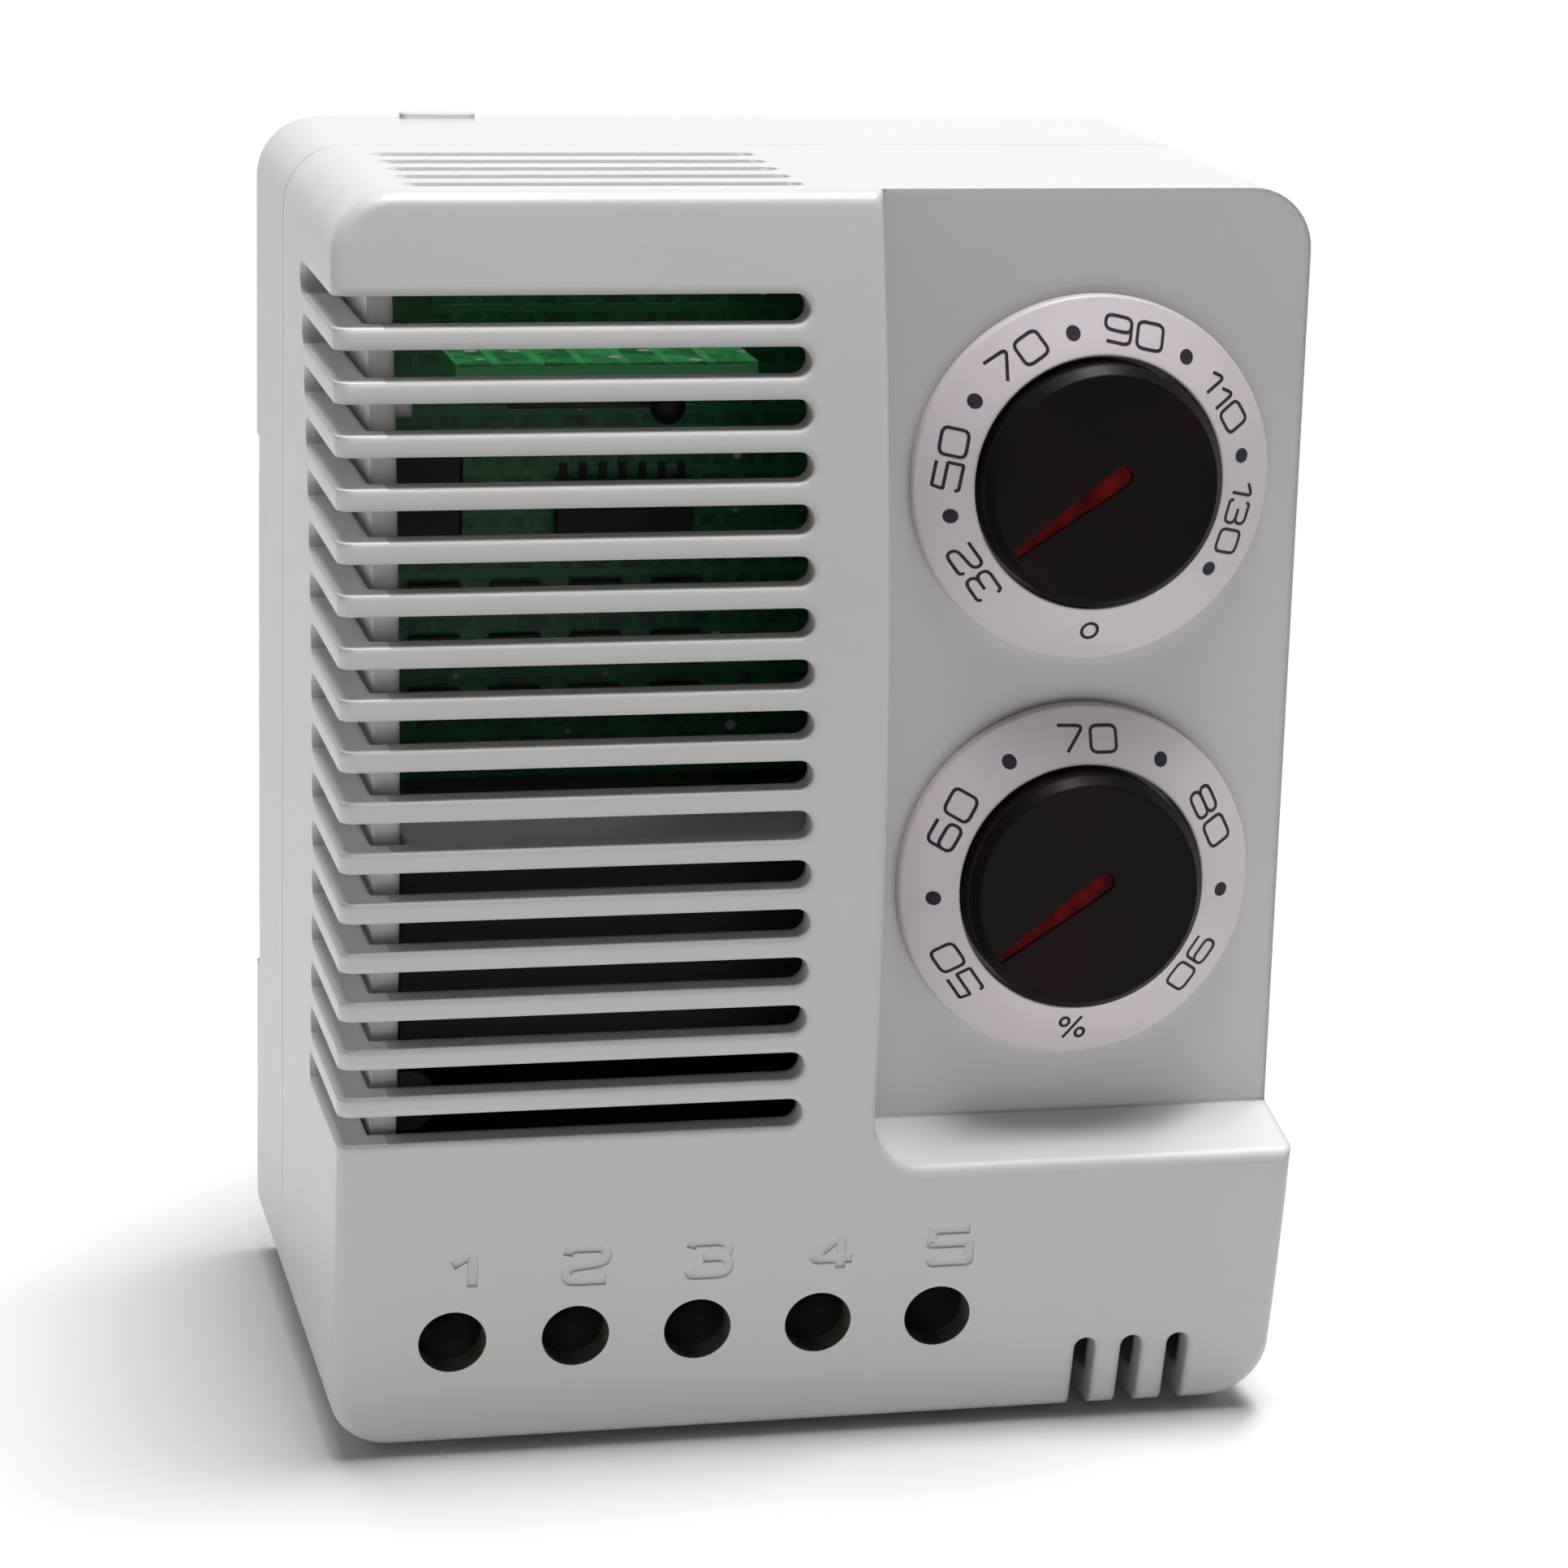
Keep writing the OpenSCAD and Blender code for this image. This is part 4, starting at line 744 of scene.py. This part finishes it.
def percent_sign(bm, centre):
    """A percent sign at the foot of the humidity dial."""
    place = dial_place(centre, UNIT_CLOCK)
    for side in (-1, 1):
        ring = ellipse(16, 0.28, 0.32, (side * 0.55, side * -0.42))
        stroke(bm, ring, True, INK_LINE, place)
    stroke(bm, [Vector((-0.5, -0.8)), Vector((0.5, 0.8))], False, INK_LINE, place)


def outline(inset, y_at):
    """Points round the housing's outline at an inset, in millimetres, as BMesh places."""
    points = []
    r = CORNER_R - inset
    for sx, sz, start in ((1, 1, 90), (1, -1, 0), (-1, -1, -90), (-1, 1, -180)):
        for k in range(11):
            a = math.radians(start - 9 * k)
            x = sx * (RIGHT - CORNER_R) + r * math.cos(a)
            z = sz * (TOP - CORNER_R) + r * math.sin(a)
            points.append((x, z))
        if sz > 0 > sx or sz < 0 < sx:
            continue
        for k in range(1, 24):
            z = sz * (TOP - CORNER_R) * (1 - 2 * k / 24)
            points.append((sx * (RIGHT - inset), z))
    return [Vector((x, y_at(z), z)) * MM for x, z in points]


def soft_body(radius):
    """A body round the housing whose outer front edge is rounded to a radius."""
    gap, steps = 0.01, 7
    bm = bmesh.new()
    rings = [outline(-gap, lambda z: PART_Y + 1)]
    for k in range(steps + 1):
        a = math.radians(90 * k / steps)
        sink = radius * (1 - math.sin(a)) - gap
        rings.append(outline(radius * (1 - math.cos(a)) - gap, lambda z: face_y(z) + sink))
    rings.append(outline(radius + 0.4, lambda z: CROWN_Y - 3))
    rows = [[bm.verts.new(p) for p in ring] for ring in rings]
    for low, high in zip(rows, rows[1:]):
        for k in range(len(low)):
            k2 = (k + 1) % len(low)
            bm.faces.new((low[k], low[k2], high[k2], high[k]))
    bm.faces.new(rows[0])
    bm.faces.new(rows[-1])
    return bm


def on_face(u, v, height):
    """A point at a height over the curved front, in front of x = u and z = v."""
    return Vector((u, face_y(v) - height, v)) * MM


def cutters(r):
    """The numbers over the screwdriver holes, and the recess's edge rounded to a radius."""
    bm = bmesh.new()
    for k in range(5):
        middle = Vector((HOLE_X + k * HOLE_PITCH + ENGRAVED_SHIFT, ENGRAVED_Z))

        def place(u, v, height):
            return on_face(u + middle.x, v + middle.y, height)

        number = str(k + 1)
        write_number(bm, number, ENGRAVED_HEIGHT, ENGRAVED_WIDTH, GROOVE, place, solid=True)
    arc = [math.radians(15 * k) for k in range(7)]
    profile = [(-r, 0.4), (0.4, 0.4), (0.4, -r)]
    profile += [(-r + r * math.cos(a), -r + r * math.sin(a)) for a in arc]
    turn_x, turn_z = RECESS_X + RECESS_R, LEDGE_Z + RECESS_R
    path = [Vector((RECESS_X, turn_z + (TOP + 1 - turn_z) * (1 - k / 24))) for k in range(24)]
    for k in range(9):
        a = math.radians(180 + 90 * k / 8)
        path.append(Vector((turn_x + RECESS_R * math.cos(a), turn_z + RECESS_R * math.sin(a))))
    path.append(Vector((RIGHT + 1, LEDGE_Z)))

    def on_recess(u, v, height):
        """Follows the front, and the ledge's slope further in."""
        low = min(1, max(0, (turn_z - v) / RECESS_R))
        return on_face(u, v + LEDGE_SLOPE * low * max(0, -height), height)

    stroke(bm, path, False, profile, on_recess, solid=True)
    return bm


def cut(obj, operation, bm):
    """Adds a boolean with a cutter and gives the cutter back."""
    bmesh.ops.recalc_face_normals(bm, faces=bm.faces)
    cutter = new_object("cutter", new_mesh("cutter", bm))
    modifier = obj.modifiers.new(operation.lower(), "BOOLEAN")
    modifier.operation, modifier.solver, modifier.object = operation, "EXACT", cutter
    modifier.use_self = operation == "DIFFERENCE"
    return cutter


def finish_cover(cover):
    """Engraves the numbers, rounds the outer front edge and the recess's edge."""
    used = [
        cut(cover, "INTERSECT", soft_body(FRONT_EDGE_R)),
        cut(cover, "DIFFERENCE", cutters(RECESS_EDGE_R)),
    ]
    shape = cover.evaluated_get(bpy.context.evaluated_depsgraph_get())
    cover.data = bpy.data.meshes.new_from_object(shape)
    cover.modifiers.clear()
    for cutter in used:
        bpy.data.objects.remove(cutter)
    smooth_by_angle(cover.data, 38)
    weigh = cover.modifiers.new("normals", "WEIGHTED_NORMAL")
    weigh.keep_sharp = True


def pressed_spring():
    """The latch's spring: a copy of the CAD part with its slot's finish."""
    slot = SLOT_OF["latch_spring"]
    mesh = frame["nodes"]["latch_spring"].data.copy()
    mesh.materials.clear()
    mesh.materials.append(MATERIALS[slot])
    obj = new_object("latch_spring_dressed", mesh)
    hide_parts("latch_spring")
    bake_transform(obj)


# Stage


def camera():
    """The camera at the photograph's place."""
    yaw, pitch, roll = (math.radians(a) for a in (CAMERA_YAW, CAMERA_PITCH, CAMERA_ROLL))
    forward = Vector(
        (math.sin(yaw) * math.cos(pitch), math.cos(yaw) * math.cos(pitch), -math.sin(pitch))
    )
    level = Vector((math.cos(yaw), -math.sin(yaw), 0))
    above = level.cross(forward)
    across = math.cos(roll) * level + math.sin(roll) * above
    up = -math.sin(roll) * level + math.cos(roll) * above
    data = bpy.data.cameras.new("camera")
    data.sensor_fit = "HORIZONTAL"
    data.sensor_width = SENSOR
    data.lens = FOCAL_PIXELS / PHOTO_PIXELS * SENSOR
    data.clip_start, data.clip_end = 0.01, 10
    obj = new_object("camera", data)
    turn = Matrix((across, up, -forward)).transposed()
    obj.matrix_world = Matrix.Translation(CAMERA_PLACE * MM) @ turn.to_4x4()
    bpy.context.scene.camera = obj


def area_light(name, place, target, size, power):
    """A white lamp at a place in metres, facing a target, with its power in watts."""
    data = bpy.data.lights.new(name, "AREA")
    data.shape = "RECTANGLE"
    data.size, data.size_y = size
    data.energy = power
    obj = new_object(name, data)
    obj.location = place
    obj.rotation_mode = "QUATERNION"
    obj.rotation_quaternion = (Vector(target) - Vector(place)).to_track_quat("-Z", "Y")


def lights():
    """Soft lamps overhead and two weak ones low down, fitted to the photograph."""
    centre = (0, -0.015, 0)
    area_light("overhead_rear", (0.02, 0.08, 0.55), centre, (0.45, 0.45), 2.05)
    area_light("overhead_front", (0.08, -0.11, 0.55), centre, (0.35, 0.2), 0.9)
    area_light("overhead_strip", (0.06, -0.06, 0.6), centre, (0.35, 0.08), 2.2)
    area_light("near_left", (-0.2, -0.03, -0.02), (-0.03, -0.02, -0.03), (0.2, 0.03), 0.057)
    area_light("near_front", (0, -0.15, -0.03), (0, -0.04, -0.035), (0.12, 0.015), 0.011)


def white_to_camera(tree, shader, kind, where=None):
    """Shows plain white to the camera, to glossy rays and through clear things."""
    path = tree.nodes.new("ShaderNodeLightPath")
    white = tree.nodes.new(kind)
    white.inputs["Color"].default_value = (1, 1, 1, 1)
    white.inputs["Strength"].default_value = 1.0
    mix = tree.nodes.new("ShaderNodeMixShader")
    seen = path.outputs["Is Camera Ray"]
    for ray in ("Is Glossy Ray", "Is Transmission Ray"):
        add = tree.nodes.new("ShaderNodeMath")
        add.operation = "MAXIMUM"
        tree.links.new(seen, add.inputs[0])
        tree.links.new(path.outputs[ray], add.inputs[1])
        seen = add.outputs[0]
    if where:
        share = tree.nodes.new("ShaderNodeMath")
        share.operation = "MULTIPLY"
        tree.links.new(seen, share.inputs[0])
        tree.links.new(where, share.inputs[1])
        seen = share.outputs[0]
    tree.links.new(seen, mix.inputs[0])
    tree.links.new(shader, mix.inputs[1])
    tree.links.new(white.outputs[0], mix.inputs[2])
    return mix.outputs[0]


def world():
    """A faint even light that looks plain white."""
    world = bpy.data.worlds.new("studio")
    bpy.context.scene.world = world
    world.use_nodes = True
    tree = world.node_tree
    background = tree.nodes["Background"]
    background.inputs["Color"].default_value = (1, 1, 1, 1)
    background.inputs["Strength"].default_value = 0.03
    out = white_to_camera(tree, background.outputs[0], "ShaderNodeBackground")
    tree.links.new(out, tree.nodes["World Output"].inputs["Surface"])


def floor():
    """A white floor that keeps the object's shadow and turns plain white further off."""
    mesh = bpy.data.meshes.new("floor")
    z = (BOTTOM - FLOOR_GAP) * MM
    corners = [
        (x * FLOOR_REACH_M, y * FLOOR_REACH_M, z) for x, y in ((-1, -1), (1, -1), (1, 1), (-1, 1))
    ]
    mesh.from_pydata(corners, [], [(0, 1, 2, 3)])
    n = Nodes("floor_white")
    tone = n.ramp(n.noise(40, 2), [(0.3, (0.9, 0.9, 0.9)), (0.7, (0.92, 0.92, 0.92))])
    n.finish(Base_Color=tone, Roughness=0.9, Specular_IOR_Level=0.1)
    distance = n.add("ShaderNodeVectorMath", operation="LENGTH")
    n.link(n.place, distance.inputs[0])
    far = n.add("ShaderNodeMapRange", interpolation_type="SMOOTHSTEP")
    far.inputs["From Min"].default_value = FADE_FROM_M
    far.inputs["From Max"].default_value = FADE_TO_M
    n.link(distance.outputs["Value"], far.inputs["Value"])
    out = white_to_camera(n.tree, n.shader.outputs[0], "ShaderNodeEmission", far.outputs["Result"])
    n.link(out, n.tree.nodes["Material Output"].inputs["Surface"])
    mesh.materials.append(n.material)
    new_object("floor", mesh)


# Scene

bpy.context.scene.view_settings.view_transform = "Standard"
camera()
world()
lights()
floor()

# A node's own finish where there is one, otherwise that of its material slot
for name, node in frame["nodes"].items():
    node.data.materials.clear()
    node.data.materials.append(MATERIALS.get(name, MATERIALS[SLOT_OF[name]]))

finish_cover(rounded("front_cover", housing_width, 0.8))
rounded("rear_base", base_width, 0.6)
for side in ("temperature", "humidity"):
    rounded(side + "_dial", even(0.14), 0.14)
for node in ("relay_case", "film_capacitor", "rectifier", "terminal_block", "din_latch"):
    rounded(node, even(0.25), 0.25)
pressed_spring()

dial_scale(
    "temperature_scale", "temperature_dial", "temperature_turn",
    [(233.5, "32"), (279.3, "50"), (325.4, "70"), (12.4, "90"), (58.5, "110"), (105.0, "130")],
    (257.6, 302.8, 348.6, 35.2, 80.9, 126.7), degree_sign,
)
dial_scale(
    "humidity_scale", "humidity_dial", "humidity_turn",
    [(235, "50"), (298, "60"), (1, "70"), (63.8, "80"), (125.4, "90")],
    (266.4, 329.2, 32.2, 94), percent_sign,
)
